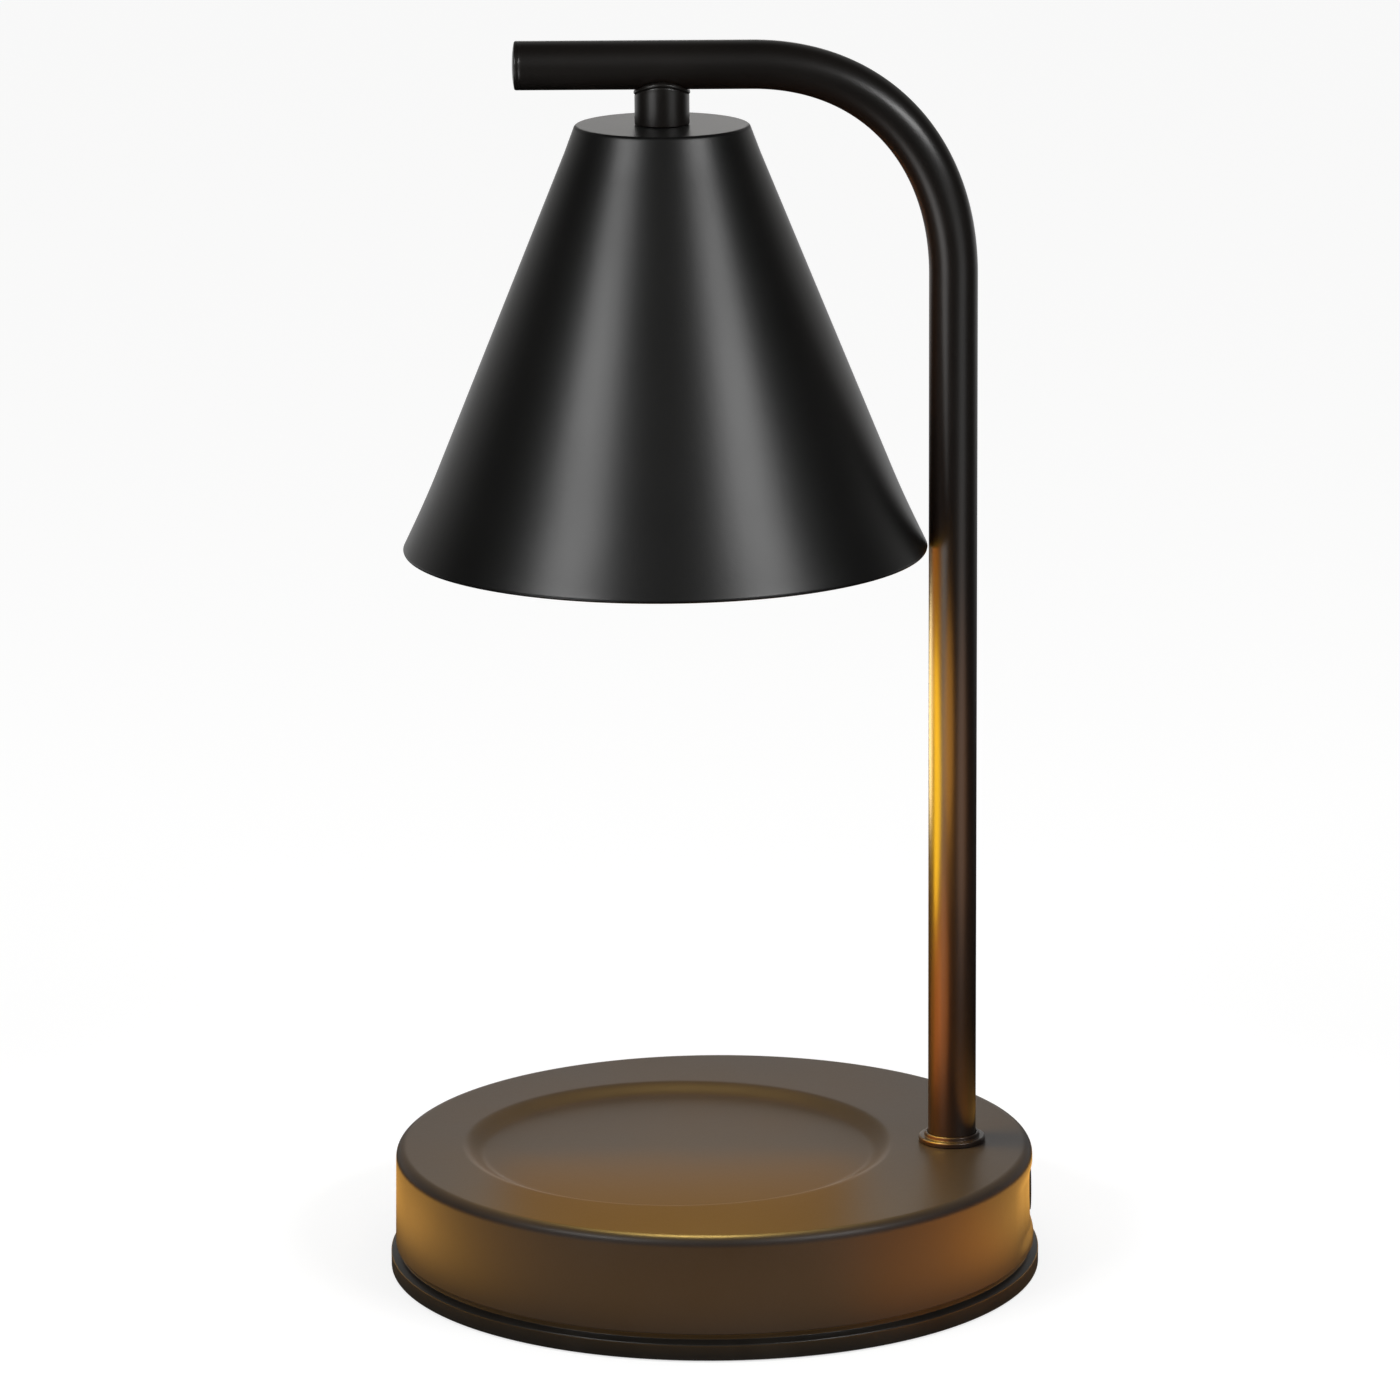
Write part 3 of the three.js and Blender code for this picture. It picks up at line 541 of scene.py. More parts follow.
def nickel_look():
    k = Look("pin_nickel", Metallic=1.0)
    turn = k.noise(1500.0, 3.0, 0.6, k.scaled(0.1, 0.1, 1))
    colour = k.ramp(turn, (0.3, (0.58, 0.57, 0.55)), (0.7, (0.72, 0.71, 0.69)))
    gloss = k.span(turn, 0.3, 0.7, 0.14, 0.26)
    return k.give(Base_Color=colour, Roughness=gloss, Normal=k.bump(turn, 0.10, 0.00003))


def ceramic_look(name, dark, light):
    k = Look(name, Subsurface_Weight=0.05, Subsurface_Radius=(0.002, 0.0018, 0.0015), Subsurface_Scale=0.3)
    cloud = k.noise(120.0, 4.0, 0.6)
    grain = k.noise(3000.0, 3.0, 0.6)
    specks = k.cells(700.0)
    colour = k.mix(k.span(specks, 0.02, 0.10, 0.35, 0.0), k.ramp(cloud, (0.3, dark), (0.7, light)), (0.36, 0.30, 0.22))
    gloss = k.span(grain, 0.3, 0.7, 0.52, 0.68)
    return k.give(Base_Color=colour, Roughness=gloss, Normal=k.bump(grain, 0.25, 0.00005))


def mirror_look():
    k = Look("reflector_mirror_coat", Metallic=1.0, Coat_Weight=0.4, Coat_Roughness=0.05)
    cloud = k.noise(90.0, 3.0, 0.5)
    facet = k.cells(420.0, "F1", randomness=0.15)
    colour = k.ramp(cloud, (0.3, (0.74, 0.74, 0.73)), (0.7, (0.86, 0.85, 0.82)))
    gloss = k.span(cloud, 0.3, 0.7, 0.07, 0.14)
    return k.give(Base_Color=colour, Roughness=gloss, Normal=k.bump(facet, 0.35, 0.0003))


def lens_look():
    k = Look("bulb_front_stipple", Transmission_Weight=1.0, IOR=1.47)
    pebble = k.cells(620.0, "SMOOTH_F1")
    haze = k.noise(150.0, 3.0, 0.5)
    colour = k.ramp(haze, (0.3, (0.93, 0.92, 0.88)), (0.7, (0.99, 0.98, 0.95)))
    gloss = k.span(haze, 0.3, 0.7, 0.16, 0.26)
    return k.give(Base_Color=colour, Roughness=gloss, Normal=k.bump(pebble, 0.7, 0.0004))


def capsule_look():
    k = Look("capsule_lit", Emission_Strength=9.0)
    tall = k.span(k.axis("Z"), 0.198, 0.222, 0.0, 1.0)
    flick = k.noise(320.0, 3.0, 0.5)
    glow = k.ramp(tall, (0.0, (1.0, 0.66, 0.32)), (0.45, (1.0, 0.74, 0.42)), (0.8, (0.55, 0.26, 0.09)), (1.0, (0.20, 0.09, 0.04)))
    colour = k.ramp(flick, (0.3, (0.9, 0.78, 0.6)), (0.7, (1.0, 0.9, 0.74)))
    gloss = k.span(flick, 0.3, 0.7, 0.10, 0.2)
    return k.give(Base_Color=colour, Roughness=gloss, Emission_Color=glow)


def silicone_look(name, dark, light):
    k = Look(name)
    cloud = k.noise(200.0, 3.0, 0.5)
    skin = k.noise(2600.0, 2.0, 0.5)
    colour = k.ramp(cloud, (0.3, dark), (0.7, light))
    gloss = k.span(skin, 0.3, 0.7, 0.46, 0.6)
    return k.give(Base_Color=colour, Roughness=gloss, Normal=k.bump(skin, 0.2, 0.00004))


LOOKS = {
    "base_paint": base_look(),
    "tube_paint": tube_look(),
    "shade_paint": shade_look(),
    "cover_plastic": moulded("cover_black", (0.0088, 0.0074, 0.0058), (0.0135, 0.0115, 0.0092), 0.33, 2600.0, 0.10, 0.03),
    "rubber": rubber_look(),
    "weight_iron": iron_look(),
    "zinc_steel": zinc_look(),
    "contact_brass": brass_look(),
    "holder_ceramic": ceramic_look("holder_steatite", (0.66, 0.62, 0.54), (0.78, 0.75, 0.68)),
    "bulb_ceramic": ceramic_look("bulb_steatite", (0.70, 0.68, 0.63), (0.80, 0.78, 0.74)),
    "reflector_mirror": mirror_look(),
    "bulb_glass": lens_look(),
    "capsule_glow": capsule_look(),
    "pin_metal": nickel_look(),
    "wire_live_insulation": silicone_look("wire_red_brown", (0.24, 0.03, 0.018), (0.34, 0.05, 0.03)),
    "wire_neutral_insulation": silicone_look("wire_pale", (0.62, 0.60, 0.53), (0.74, 0.72, 0.66)),
    "splice_nylon": moulded("nylon_natural", (0.50, 0.47, 0.38), (0.62, 0.59, 0.50), 0.42, 2200.0, 0.2,
                            Subsurface_Weight=0.15, Subsurface_Radius=(0.002, 0.0018, 0.0012), Subsurface_Scale=0.5),
}
SLOT_OF = {row["node"]: row["material_slot"] for row in frame["record"]["subparts"]}


def piece(ob, node, body="lamp", angle=30.0):
    slot = SLOT_OF[node]
    return settle(ob, node, body, angle, LOOKS[slot])


# ------------------------------------------------------------------ base shell
SEAT_X, POLE_X, SHADE_X = -8.4, 55.0, -10.2
ARM_Z = 278.8


def smooth(t):
    t = min(max(t, 0.0), 1.0)
    return t * t * (3 - 2 * t)


def wall_r(z):
    return 73.9 + (73.5 - 73.9) * (z - 5.8) / (28.3 - 5.8)


def pressed(x, y, z, outside):
    """The shallow hollow drawn into the wall where the lead goes in, and the round flat in its middle."""
    if x <= 60:
        return x
    rho = math.hypot(y, z - 17.2)
    if not outside:
        return x - smooth((9.2 - rho) / 1.6) * max(x - 71.95, 0.0)
    x -= 0.62 * smooth((27.0 - abs(y)) / 11.0) * smooth((z - 7.0) / 3.2) * smooth((25.0 - z) / 3.2)
    return x - smooth((8.4 - rho) / 1.8) * max(x - 72.6, 0.0)


def base_shell():
    angles, w = [], -180.0
    while w < 180.0 - 1e-6:
        angles.append(math.radians(w))
        w += 0.3 if -12.9 < w < 12.9 - 0.15 else (0.6 if -24.9 < w < 24.9 - 0.3 else 1.5)
        w = round(w, 4)
    n = len(angles)
    rows = []  # (kind, centre x, radius, z)

    def seat_rows(floor_z, r_in, r_out, drop):
        out = [(SEAT_X, r, floor_z) for r in (7, 14, 21, 28, 34, 38, 41, 43.0)]
        for k in range(15):
            t = k / 14
            out.append((SEAT_X, r_in + (r_out - r_in) * t, floor_z + drop * smooth(t)))
        return out

    outer = seat_rows(26.3, 44.2, 49.8, 2.0)
    for t in (0.03, 0.1, 0.22, 0.38, 0.55, 0.72, 0.86, 0.95):
        outer.append((SEAT_X * (1 - t), 49.8 + (70.9 - 49.8) * t, 28.3))
    outer.append((0, 70.9, 28.3))
    for k in range(11):
        a = math.pi / 2 * (1 - k / 10)
        outer.append((0, wall_r(25.9) - 2.4 + 2.4 * math.cos(a), 25.9 + 2.4 * math.sin(a)))
    z = 25.6
    while z > 6.4:
        outer.append((0, wall_r(z), z))
        z -= 0.45
    outer.append((0, wall_r(6.1), 6.1))
    for k in range(7):
        a = math.pi / 2 * k / 6
        outer.append((0, 73.9 - 0.2 + 0.2 * math.cos(a), 6.0 - 0.2 * math.sin(a)))
    inner = [(0, 73.0, 5.8), (0, 72.75, 5.9), (0, 72.7, 6.1)]
    z = 7.0
    while z < 25.0:
        inner.append((0, wall_r(z) - 1.2, z))
        z += 0.75
    for k in range(7):
        a = math.pi / 2 * k / 6
        inner.append((0, wall_r(25.8) - 1.2 - 1.3 + 1.3 * math.cos(a), 25.8 + 1.3 * math.sin(a)))
    for t in (0.97, 0.8, 0.6, 0.4, 0.2, 0.05):
        inner.append((SEAT_X * (1 - t), 50.3 + (70.6 - 50.3) * t, 27.1))
    inner += [(c, r + 0.45, z) for c, r, z in reversed(seat_rows(25.1, 44.2, 49.8, 2.0))]
    verts, faces = [(SEAT_X, 0.0, 26.3)], []
    first = {}
    for i, (c, r, z) in enumerate(outer + inner):
        first[i] = len(verts)
        for a in angles:
            x, y = c + r * math.cos(a), r * math.sin(a)
            if z < 26:
                x = pressed(x, y, z, i < len(outer))
            verts.append((x, y, z))
    count = len(outer + inner)
    for i in range(count - 1):
        a, b = first[i], first[i + 1]
        for k in range(n):
            j = (k + 1) % n
            faces.append((a + k, b + k, b + j, a + j))
    end = len(verts)
    verts.append((SEAT_X, 0.0, 25.1))
    for k in range(n):
        j = (k + 1) % n
        faces.append((0, first[0] + k, first[0] + j))
        faces.append((end, first[count - 1] + j, first[count - 1] + k))
    ob = mesh_of("base_shell_fine", verts, faces)
    cut(ob, rod(4.3, 20.0, 31.0, POLE_X, 0.0), rod_x(4.6, 69.0, 76.0, 0.0, 17.2, 72))
    return ob


piece(base_shell(), "base_shell", angle=38.0)

# lead bush, flush with the flat, its mouth rounded
piece(
    lathe(
        "bush",
        rounded(
            [
                (3.4, 70.25, 0.2),
                (6.4, 70.25, 0.25),
                (6.4, 71.85, 0.2),
                (4.5, 71.85),
                (4.5, 72.62),
                (5.7, 72.62, 0.05),
                (5.7, 73.2, 0.3),
                (3.4, 73.2, 0.3),
            ],
            closed=True,
            n=4,
            support=0.1,
        ),
        72,
        closed=True,
        place=round_x(0.0, 17.2),
    ),
    "lead_inlet_bush",
)


# ------------------------------------------------------------------ bottom cover, pads and screws
def bottom_cover():
    profile = rounded(
        [
            (0, 0.5),
            (73.3, 0.5, 0.2),
            (73.6, 0.12, 0.1),
            (75.0, 0.12, 0.25),
            (75.0, 3.85, 0.4),
            (73.1, 4.5, 0.15),
            (73.1, 5.7, 0.15),
            (72.4, 5.7, 0.15),
            (72.4, 9.2, 0.3),
            (70.6, 9.2, 0.3),
            (70.6, 3.2, 0.5),
            (0, 3.2),
        ],
        n=6,
        support=0.25,
    )
    inserted = []
    for i, (r, z) in enumerate(profile):  # rings in the wide flats, so that the cuts stay local
        inserted.append((r, z))
        if i == 0:
            inserted += [(r2, 0.5) for r2 in (20, 34, 46, 52, 68.5)]
        if i == len(profile) - 2:
            inserted += [(r2, 3.2) for r2 in (60, 47, 33, 18)]
    ob = lathe("cover", inserted, 240)
    spots = [(40 * math.cos(math.radians(a)), 40 * math.sin(math.radians(a))) for a in (60, 180, 300)]
    for x, y in spots:
        cut(ob, rod(6.0, 2.0, 16.9, x, y), operation="UNION")
    for x, y in spots:
        cut(ob, rod(4.4, -1.0, 4.2, x, y), rod(2.3, 0.0, 18.0, x, y))
    for a in (45, 135, 225, 315):
        cut(ob, rod(7.3, -1.0, 1.5, 60 * math.cos(math.radians(a)), 60 * math.sin(math.radians(a)), 64))
    return ob


piece(bottom_cover(), "base_bottom_cover", angle=35.0)

for node, a in (("pad_back_right", 45), ("pad_front_right", 135), ("pad_front_left", 225), ("pad_back_left", 315)):
    x, y = 60 * math.cos(math.radians(a)), 60 * math.sin(math.radians(a))
    piece(
        lathe(
            "pad",
            rounded([(0, 0.12), (1.4, 0.12, 0.2), (1.7, 0.0, 0.2), (7.0, 0.0, 0.5), (7.0, 1.45, 0.15), (0, 1.45)], n=5, support=0.15),
            72,
            place=round_z(x, y),
        ),
        node,
    )

for i, a in enumerate((60, 180, 300)):
    x, y = 40 * math.cos(math.radians(a)), 40 * math.sin(math.radians(a))
    screw = lathe(
        "screw",
        rounded([(0, 1.4), (2.3, 1.45, 0.8), (3.6, 2.5, 0.6), (3.6, 4.0, 0.15), (2.0, 4.0), (2.0, 21.0, 0.2), (1.4, 21.8, 0.1), (0, 21.8)], n=4, support=0.15),
        48,
        place=round_z(x, y),
    )
    cut(screw, slab(x - 1.9, x + 1.9, y - 0.45, y + 0.45, 0, 2.9), slab(x - 0.45, x + 0.45, y - 1.9, y + 1.9, 0, 2.9))
    piece(screw, f"cover_screw_{i + 1}")


# ------------------------------------------------------------------ tube, cap, collar and neck
def bend(t):
    p = ((10.0, 278.8), (37.6, 278.8), (55.0, 258.9), (55.0, 231.2))
    w = ((1 - t) ** 3, 3 * (1 - t) ** 2 * t, 3 * (1 - t) * t * t, t**3)
    return sum(a * q[0] for a, q in zip(w, p)), sum(a * q[1] for a, q in zip(w, p))


def tube_path(y=0.0):
    path = [(-42.15, y, ARM_Z), (-42.08, y, ARM_Z), (-41.4, y, ARM_Z)]
    x = -38.0
    while x < 9.0:
        path.append((x, y, ARM_Z))
        x += 3.0
    path += [(bx, y, bz) for bx, bz in (bend(k / 72) for k in range(73))]
    z = 228.0
    while z > 32.0:
        path.append((POLE_X, y, z))
        z -= 4.0
    return path + [(POLE_X, y, 30.3), (POLE_X, y, 29.95), (POLE_X, y, 29.75)]


tube = sweep("tube", tube_path(), 5.5, 96, bore=4.5, ease=0.04)
cut(tube, rod(3.3, ARM_Z - 8, ARM_Z - 2.5, SHADE_X, 0.0))
piece(tube, "pole_arm_tube", angle=40.0)

piece(
    lathe(
        "cap",
        rounded(
            [
                (0, -43.6),
                (1.6, -43.58),
                (3.0, -43.5),
                (4.0, -43.38),
                (5.5, -43.12, 0.85),
                (5.5, -42.17, 0.05),
                (4.25, -42.17),
                (4.25, -36.3, 0.1),
                (3.9, -35.7, 0.1),
                (0, -35.7),
            ],
            n=7,
            support=0.2,
        ),
        96,
        place=round_x(0.0, ARM_Z),
    ),
    "arm_end_cap",
)

piece(
    lathe(
        "collar",
        rounded(
            [
                (4.4, 28.35),
                (7.7, 28.35, 0.2),
                (7.7, 29.6, 0.4),
                (6.4, 29.62, 0.12),
                (6.25, 30.5, 0.3),
                (5.7, 30.5, 0.12),
                (5.7, 29.6),
                (4.4, 29.6),
            ],
            closed=True,
            n=5,
            support=0.12,
        ),
        96,
        closed=True,
        place=round_z(POLE_X, 0.0),
    ),
    "pole_collar",
)


def neck():
    """Tube stub whose top follows the arm's underside and an arched outline, with a bead round its edge."""
    seg, r_in, r_out = 192, 4.3, 6.15
    bead = 0.5

    def top(r, a):
        x, y = r * math.cos(a), r * math.sin(a)
        arch = 265.5 + math.sqrt(max(100.0 - x * x, 0.0))
        saddle = ARM_Z - math.sqrt(5.6**2 - y * y) if abs(y) < 5.6 else 1e9
        return min(arch, saddle)

    turn = [2 * math.pi * k / seg for k in range(seg)]
    edge = [top(r_out, a) - 0.02 for a in turn]
    rows = [[(r_in, 265.5)] * seg, [(r_in + 0.6, 265.5)] * seg]
    for k in range(5):
        w = math.pi / 2 * k / 4
        rows.append([(r_out - 0.25 + 0.25 * math.sin(w), 265.75 - 0.25 * math.cos(w))] * seg)
    foot = 266.1
    for k in range(11):
        t = k / 10
        rows.append([(r_out, foot + (z - 2 * bead - 0.35 - foot) * t) for z in edge])
    # a soft step in, then the bead
    rows.append([(r_out - 0.03, z - 2 * bead - 0.18) for z in edge])
    rows.append([(r_out - 0.10, z - 2 * bead - 0.05) for z in edge])
    for k in range(11):
        w = -math.pi * 0.42 + math.pi * 0.92 * k / 10
        rows.append([(r_out - 0.30 + bead * math.cos(w), z - bead + bead * math.sin(w)) for z in edge])
    for d in (0.55, 0.9, 1.3, 1.6, 1.85):
        rows.append([(r_out - d, top(r_out - d, a) - (0.02 if d < 1 else 0.0)) for a in turn])
    verts, faces = [], []
    for row in rows:
        for a, (r, z) in zip(turn, row):
            verts.append((SHADE_X + r * math.cos(a), r * math.sin(a), z))
    count = len(rows)
    for i in range(count):
        a, b = i * seg, ((i + 1) % count) * seg
        for k in range(seg):
            j = (k + 1) % seg
            faces.append((a + k, a + j, b + j, b + k))
    return mesh_of("neck", verts, faces)


piece(neck(), "shade_neck", angle=50.0)


# ------------------------------------------------------------------ shade
def cone_r(z):
    return 19.4 + 0.4075 * (265.4 - z)


def skirt_r(z):
    u = (186.0 - z) / (186.0 - 168.6)
    return cone_r(z) + (59.7 - cone_r(168.6)) * u * u * (1.4 - 0.4 * u) if z < 186 else cone_r(z)


def shade():
    outer = rounded([(4.3, 265.4), (19.62, 265.4, 0.9), (cone_r(259.0), 259.0)], n=8, support=0.4)
    z = 256.0
    while z > 169.9:
        outer.append((skirt_r(z), z))
        z -= 3.0 if z > 190 else 1.6
    outer.append((skirt_r(169.5), 169.5))
    lip_r = skirt_r(169.2)
    for k in range(9):  # rolled lip
        a = math.pi * k / 8
        outer.append((lip_r - 0.55 + 0.55 * math.cos(a), 169.15 - 0.55 * math.sin(a)))
    z = 169.9
    inner = []
    while z < 258.0:
        inner.append((skirt_r(z) - 1.09, z))
        z += 1.8 if z < 190 else 3.5
    inner += rounded([(cone_r(259.0) - 1.09, 259.0), (18.4, 264.4, 0.7), (4.3, 264.4)], n=6, support=0.4)
    return lathe("shade", outer + inner, 288, closed=True, place=round_z(SHADE_X, 0.0))


piece(shade(), "shade", angle=50.0)

# ------------------------------------------------------------------ under the shade
piece(
    lathe("washer", rounded([(4.3, 262.8, 0.1), (12.0, 262.8, 0.3), (12.0, 264.3, 0.3), (4.3, 264.3, 0.1)], closed=True, n=4, support=0.2), 96, closed=True, place=round_z(SHADE_X, 0)),
    "shade_washer",
)
stem = lathe(
    "stem",
    [(2.9, 256.6), (3.55, 256.6), (4.0, 257.05)]
    + [p for k in range(13) for p in ((4.0, 257.3 + k * 0.35), (3.86, 257.475 + k * 0.35))]
    + [(4.0, 262.0), (4.0, 271.4), (3.6, 271.8), (2.9, 271.8)],
    64,
    closed=True,
    place=round_z(SHADE_X, 0),
)
piece(stem, "shade_stem", angle=35.0)


def nut(z0, z1, x):
    r = 13 / 2 / math.cos(math.pi / 6)
    hexagon = [(x + r * math.cos(math.pi / 3 * k), r * math.sin(math.pi / 3 * k)) for k in range(6)]
    body = prism("nut", hexagon, z0, z1)
    drum = lathe("drum", [(0, z0 - 0.0), (6.3, z0 - 0.0), (r + 0.1, z0 + 0.75), (r + 0.1, z1 - 0.75), (6.3, z1 + 0.0), (0, z1 + 0.0)], 96, place=round_z(x, 0))
    cut(body, drum, operation="INTERSECT")
    cut(body, rod(4.2, z0 - 2, z1 + 2, x, 0, 64))
    return body


piece(nut(257.4, 261.4, SHADE_X), "shade_nut", angle=25.0)


def bracket():
    t, leg, foot = 1.2, 11.4, 17.0
    z0, z1, zf = 250.6, 262.7, 251.8
    half = [
        (foot, z0, 0.15),
        (foot, zf, 0.15),
        (leg, zf, 0.5),
        (leg, z1, 1.5),
        (-leg, z1, 1.5),
        (-leg, zf, 0.5),
        (-foot, zf, 0.15),
        (-foot, z0, 0.15),
        (-(leg - t), z0, 0.6),
        (-(leg - t), z1 - t, 0.5),
        (leg - t, z1 - t, 0.5),
        (leg - t, z0, 0.6),
    ]
    line = rounded(half, closed=True, n=5, support=0.2)
    area = sum(a[0] * b[1] - b[0] * a[1] for a, b in zip(line, line[1:] + line[:1]))
    if area < 0:
        line.reverse()
    flat = prism("bracket", line, -6.0, 6.0, 0.11, 3, border=0.0)
    flat.data.transform(Matrix(((1, 0, 0, SHADE_X * MM), (0, 0, 1, 0), (0, 1, 0, 0), (0, 0, 0, 1))))
    bm = bmesh.new()
    bm.from_mesh(flat.data)
    bmesh.ops.recalc_face_normals(bm, faces=bm.faces)
    bm.to_mesh(flat.data)
    bm.free()
    cut(flat, rod(4.3, 258.0, 266.0, SHADE_X, 0, 64), rod(1.9, 249.0, 253.0, SHADE_X - 14.3, 0), rod(1.9, 249.0, 253.0, SHADE_X + 14.3, 0))
    return flat


piece(bracket(), "socket_bracket", angle=32.0)


def stadium(half_length, half_width, steps=20):
    c = half_length - half_width
    out = []
    for k in range(steps + 1):
        a = -math.pi / 2 + math.pi * k / steps
        out.append((SHADE_X + c + half_width * math.cos(a), half_width * math.sin(a)))
    for k in range(steps + 1):
        a = math.pi / 2 + math.pi * k / steps
        out.append((SHADE_X - c + half_width * math.cos(a), half_width * math.sin(a)))
    return out


def kidney(rc, half, a0, a1, z0, z1):
    a0, a1 = math.radians(a0), math.radians(a1)
    out = []
    for k in range(9):
        a = a0 + (a1 - a0) * k / 8
        out.append(((rc + half) * math.cos(a), (rc + half) * math.sin(a)))
    for k in range(1, 8):
        a = a1 + math.pi * k / 8
        out.append((rc * math.cos(a1) + half * math.cos(a), rc * math.sin(a1) + half * math.sin(a)))
    for k in range(9):
        a = a1 + (a0 - a1) * k / 8
        out.append(((rc - half) * math.cos(a), (rc - half) * math.sin(a)))
    for k in range(1, 8):
        a = a0 + math.pi + math.pi * k / 8
        out.append((rc * math.cos(a0) + half * math.cos(a), rc * math.sin(a0) + half * math.sin(a)))
    return prism("cutter", [(SHADE_X + x, y) for x, y in out], z0, z1)


def holder_body():
    ob = prism("holder", stadium(17.6, 11.5), 234.6, 245.75, 0.6, 4)
    for a in (0, 180):
        way = math.radians(a - 35)
        cut(
            ob,
            kidney(5.0, 1.8, a - 35, a, 233.6, 239.6),
            rod(2.75, 233.6, 239.6, SHADE_X + 5 * math.cos(way), 5 * math.sin(way)),
            kidney(5.0, 2.8, a - 37, a + 2, 238.0, 247.0),
        )
    for k in (-1, 1):
        cut(ob, rod(1.9, 230.0, 250.0, SHADE_X + 14.3 * k, 0))
    return ob


piece(holder_body(), "socket_body", angle=32.0)


def holder_cover():
    ob = prism("cover", stadium(17.6, 11.5), 245.85, 250.5, 0.5, 4)
    for k in (-1, 1):
        cut(ob, rod(1.9, 240.0, 260.0, SHADE_X + 14.3 * k, 0), rod(1.5, 240.0, 260.0, SHADE_X + 5.0 * k, 0))
    return ob


piece(holder_cover(), "socket_cover", angle=32.0)

for i, k in ((1, -1), (2, 1)):
    x = SHADE_X + k * 14.3
    screw = lathe(
        "screw",
        rounded([(0, 241.0), (1.0, 241.4, 0.2), (1.5, 242.2, 0.3), (1.5, 251.9), (2.8, 251.9, 0.1), (2.8, 252.9, 0.35), (2.0, 253.7, 0.4), (0, 253.9)], n=4, support=0.12),
        48,
        place=round_z(x, 0),
    )
    cut(screw, slab(x - 3.2, x + 3.2, -0.35, 0.35, 252.8, 256.0))
    piece(screw, f"socket_screw_{i}")

# ------------------------------------------------------------------ bulb
piece(
    lathe("bulb_base", rounded([(0, 222.6), (9.9, 222.6, 0.3), (10.2, 223.4, 0.3), (9.4, 233.5, 0.4), (8.6, 234.3, 0.3), (0, 234.3)], n=5, support=0.2), 96, place=round_z(SHADE_X, 0)),
    "bulb_base",
    "bulb",
)


def reflector():
    outer = catmull([(10.2, 0, 222.4), (12.6, 0, 217.0), (17.3, 0, 208.0), (21.4, 0, 198.0), (24.0, 0, 189.5), (25.0, 0, 185.4)], 6)
    outer = [(x, z) for x, _, z in outer]
    rim = rounded([(25.0, 184.8), (25.0, 182.0, 0.5), (24.0, 182.0, 0.2), (24.0, 185.0, 0.1), (22.4, 185.0)], n=4, support=0.15)
    inside = catmull([(22.4, 0, 185.3), (20.7, 0, 192.5), (18.6, 0, 199.5), (14.4, 0, 208.0), (10.0, 0, 214.2), (6.0, 0, 218.4)], 7)
    inside = [(x, z) for x, _, z in inside]
    return lathe("reflector", [(6.0, 222.4)] + outer + rim + inside, 128, closed=True, place=round_z(SHADE_X, 0))


piece(reflector(), "bulb_reflector", "bulb", angle=40.0)
piece(
    lathe("front", rounded([(0, 182.5), (12, 182.5), (23.4, 182.6, 0.4), (23.8, 183.0, 0.3), (23.8, 184.6, 0.3), (12, 184.6), (0, 184.6)], n=5, support=0.2), 128, place=round_z(SHADE_X, 0)),
    "bulb_front_glass",
    "bulb",
)
piece(
    lathe(
        "capsule",
        rounded([(0, 222.2), (4.4, 222.2, 0.4), (4.4, 215.0, 1.2), (5.4, 212.0, 1.5), (5.4, 203.5, 2.0), (4.2, 200.4, 1.5), (1.8, 198.6, 1.0), (0, 198.2)], n=6, support=0.3),
        64,
        place=round_z(SHADE_X, 0),
    ),
    "bulb_capsule",
    "bulb",
    angle=60.0,
)
for i, a in enumerate((0, 180)):
    x = SHADE_X + 5.0 * math.cos(math.radians(a))
    piece(
        lathe("pin", rounded([(0, 234.4), (1.5, 234.4, 0.1), (1.5, 238.8, 0.2), (2.4, 238.9, 0.3), (2.4, 241.1, 0.5), (1.9, 241.5, 0.2), (0, 241.5)], n=4, support=0.12), 48, place=round_z(x, 0)),
        f"bulb_pin_{i + 1}",
        "bulb",
    )

# ------------------------------------------------------------------ wires and their crimp caps
for name, cap, k in (("lamp_wire_live", "splice_cap_live", 1), ("lamp_wire_neutral", "splice_cap_neutral", -1)):
    side = 1.3 * k
    raw = [
        (SHADE_X + 5 * k, 0, 245.6),
        (SHADE_X + 5 * k, 0, 248.2),
        (SHADE_X + 5 * k, 0, 250.6),
        (SHADE_X + 4.5 * k, 0.3 * k, 252.4),
        (SHADE_X + 3.0 * k, 0.8 * k, 254.4),
        (SHADE_X + 1.3 * k, 1.2 * k, 256.2),
        (SHADE_X + 0.3 * k, side, 258.6),
        (SHADE_X, side, 262.0),
        (SHADE_X, side, 266.0),
        (SHADE_X, side, 270.6),
        (SHADE_X + 0.4, side, 273.2),
        (SHADE_X + 1.6, side, 275.8),
        (SHADE_X + 3.8, side, 277.9),
        (SHADE_X + 7.0, side, 278.8),
        (4.0, side, 278.8),
    ]
    raw += [(bx, side, bz) for bx, bz in (bend(j / 12) for j in range(13))]
    raw += [(POLE_X, side, z) for z in (200, 165, 130, 95, 60, 35, 20)]
    raw += [
        (POLE_X, side, 11.0),
        (POLE_X - 0.6, side, 8.9),
        (POLE_X - 2.2, 1.6 * k, 7.2),
        (POLE_X - 4.8, 2.2 * k, 6.4),
        (POLE_X - 8.5, 3.6 * k, 6.3),
        (POLE_X - 12.0, 5.0 * k, 6.5),
        (POLE_X - 15.0, 5.8 * k, 6.8),
        (POLE_X - 18.5, 6.0 * k, 6.9),
    ]
    piece(sweep("wire", catmull(raw, 4), 0.95, 20), name, angle=60.0)
    piece(
        lathe(
            "splice",
            rounded([(0, 20.0), (2.0, 20.0, 0.5), (2.7, 20.8, 0.5), (3.0, 30.0, 1.0), (3.6, 33.0, 1.0), (3.6, 38.5, 0.2), (2.7, 38.5, 0.2), (2.4, 36.2, 0.2), (0, 36.2)], n=4, support=0.2),
            48,
            place=round_x(6.0 * k, 6.9),
        ),
        cap,
    )

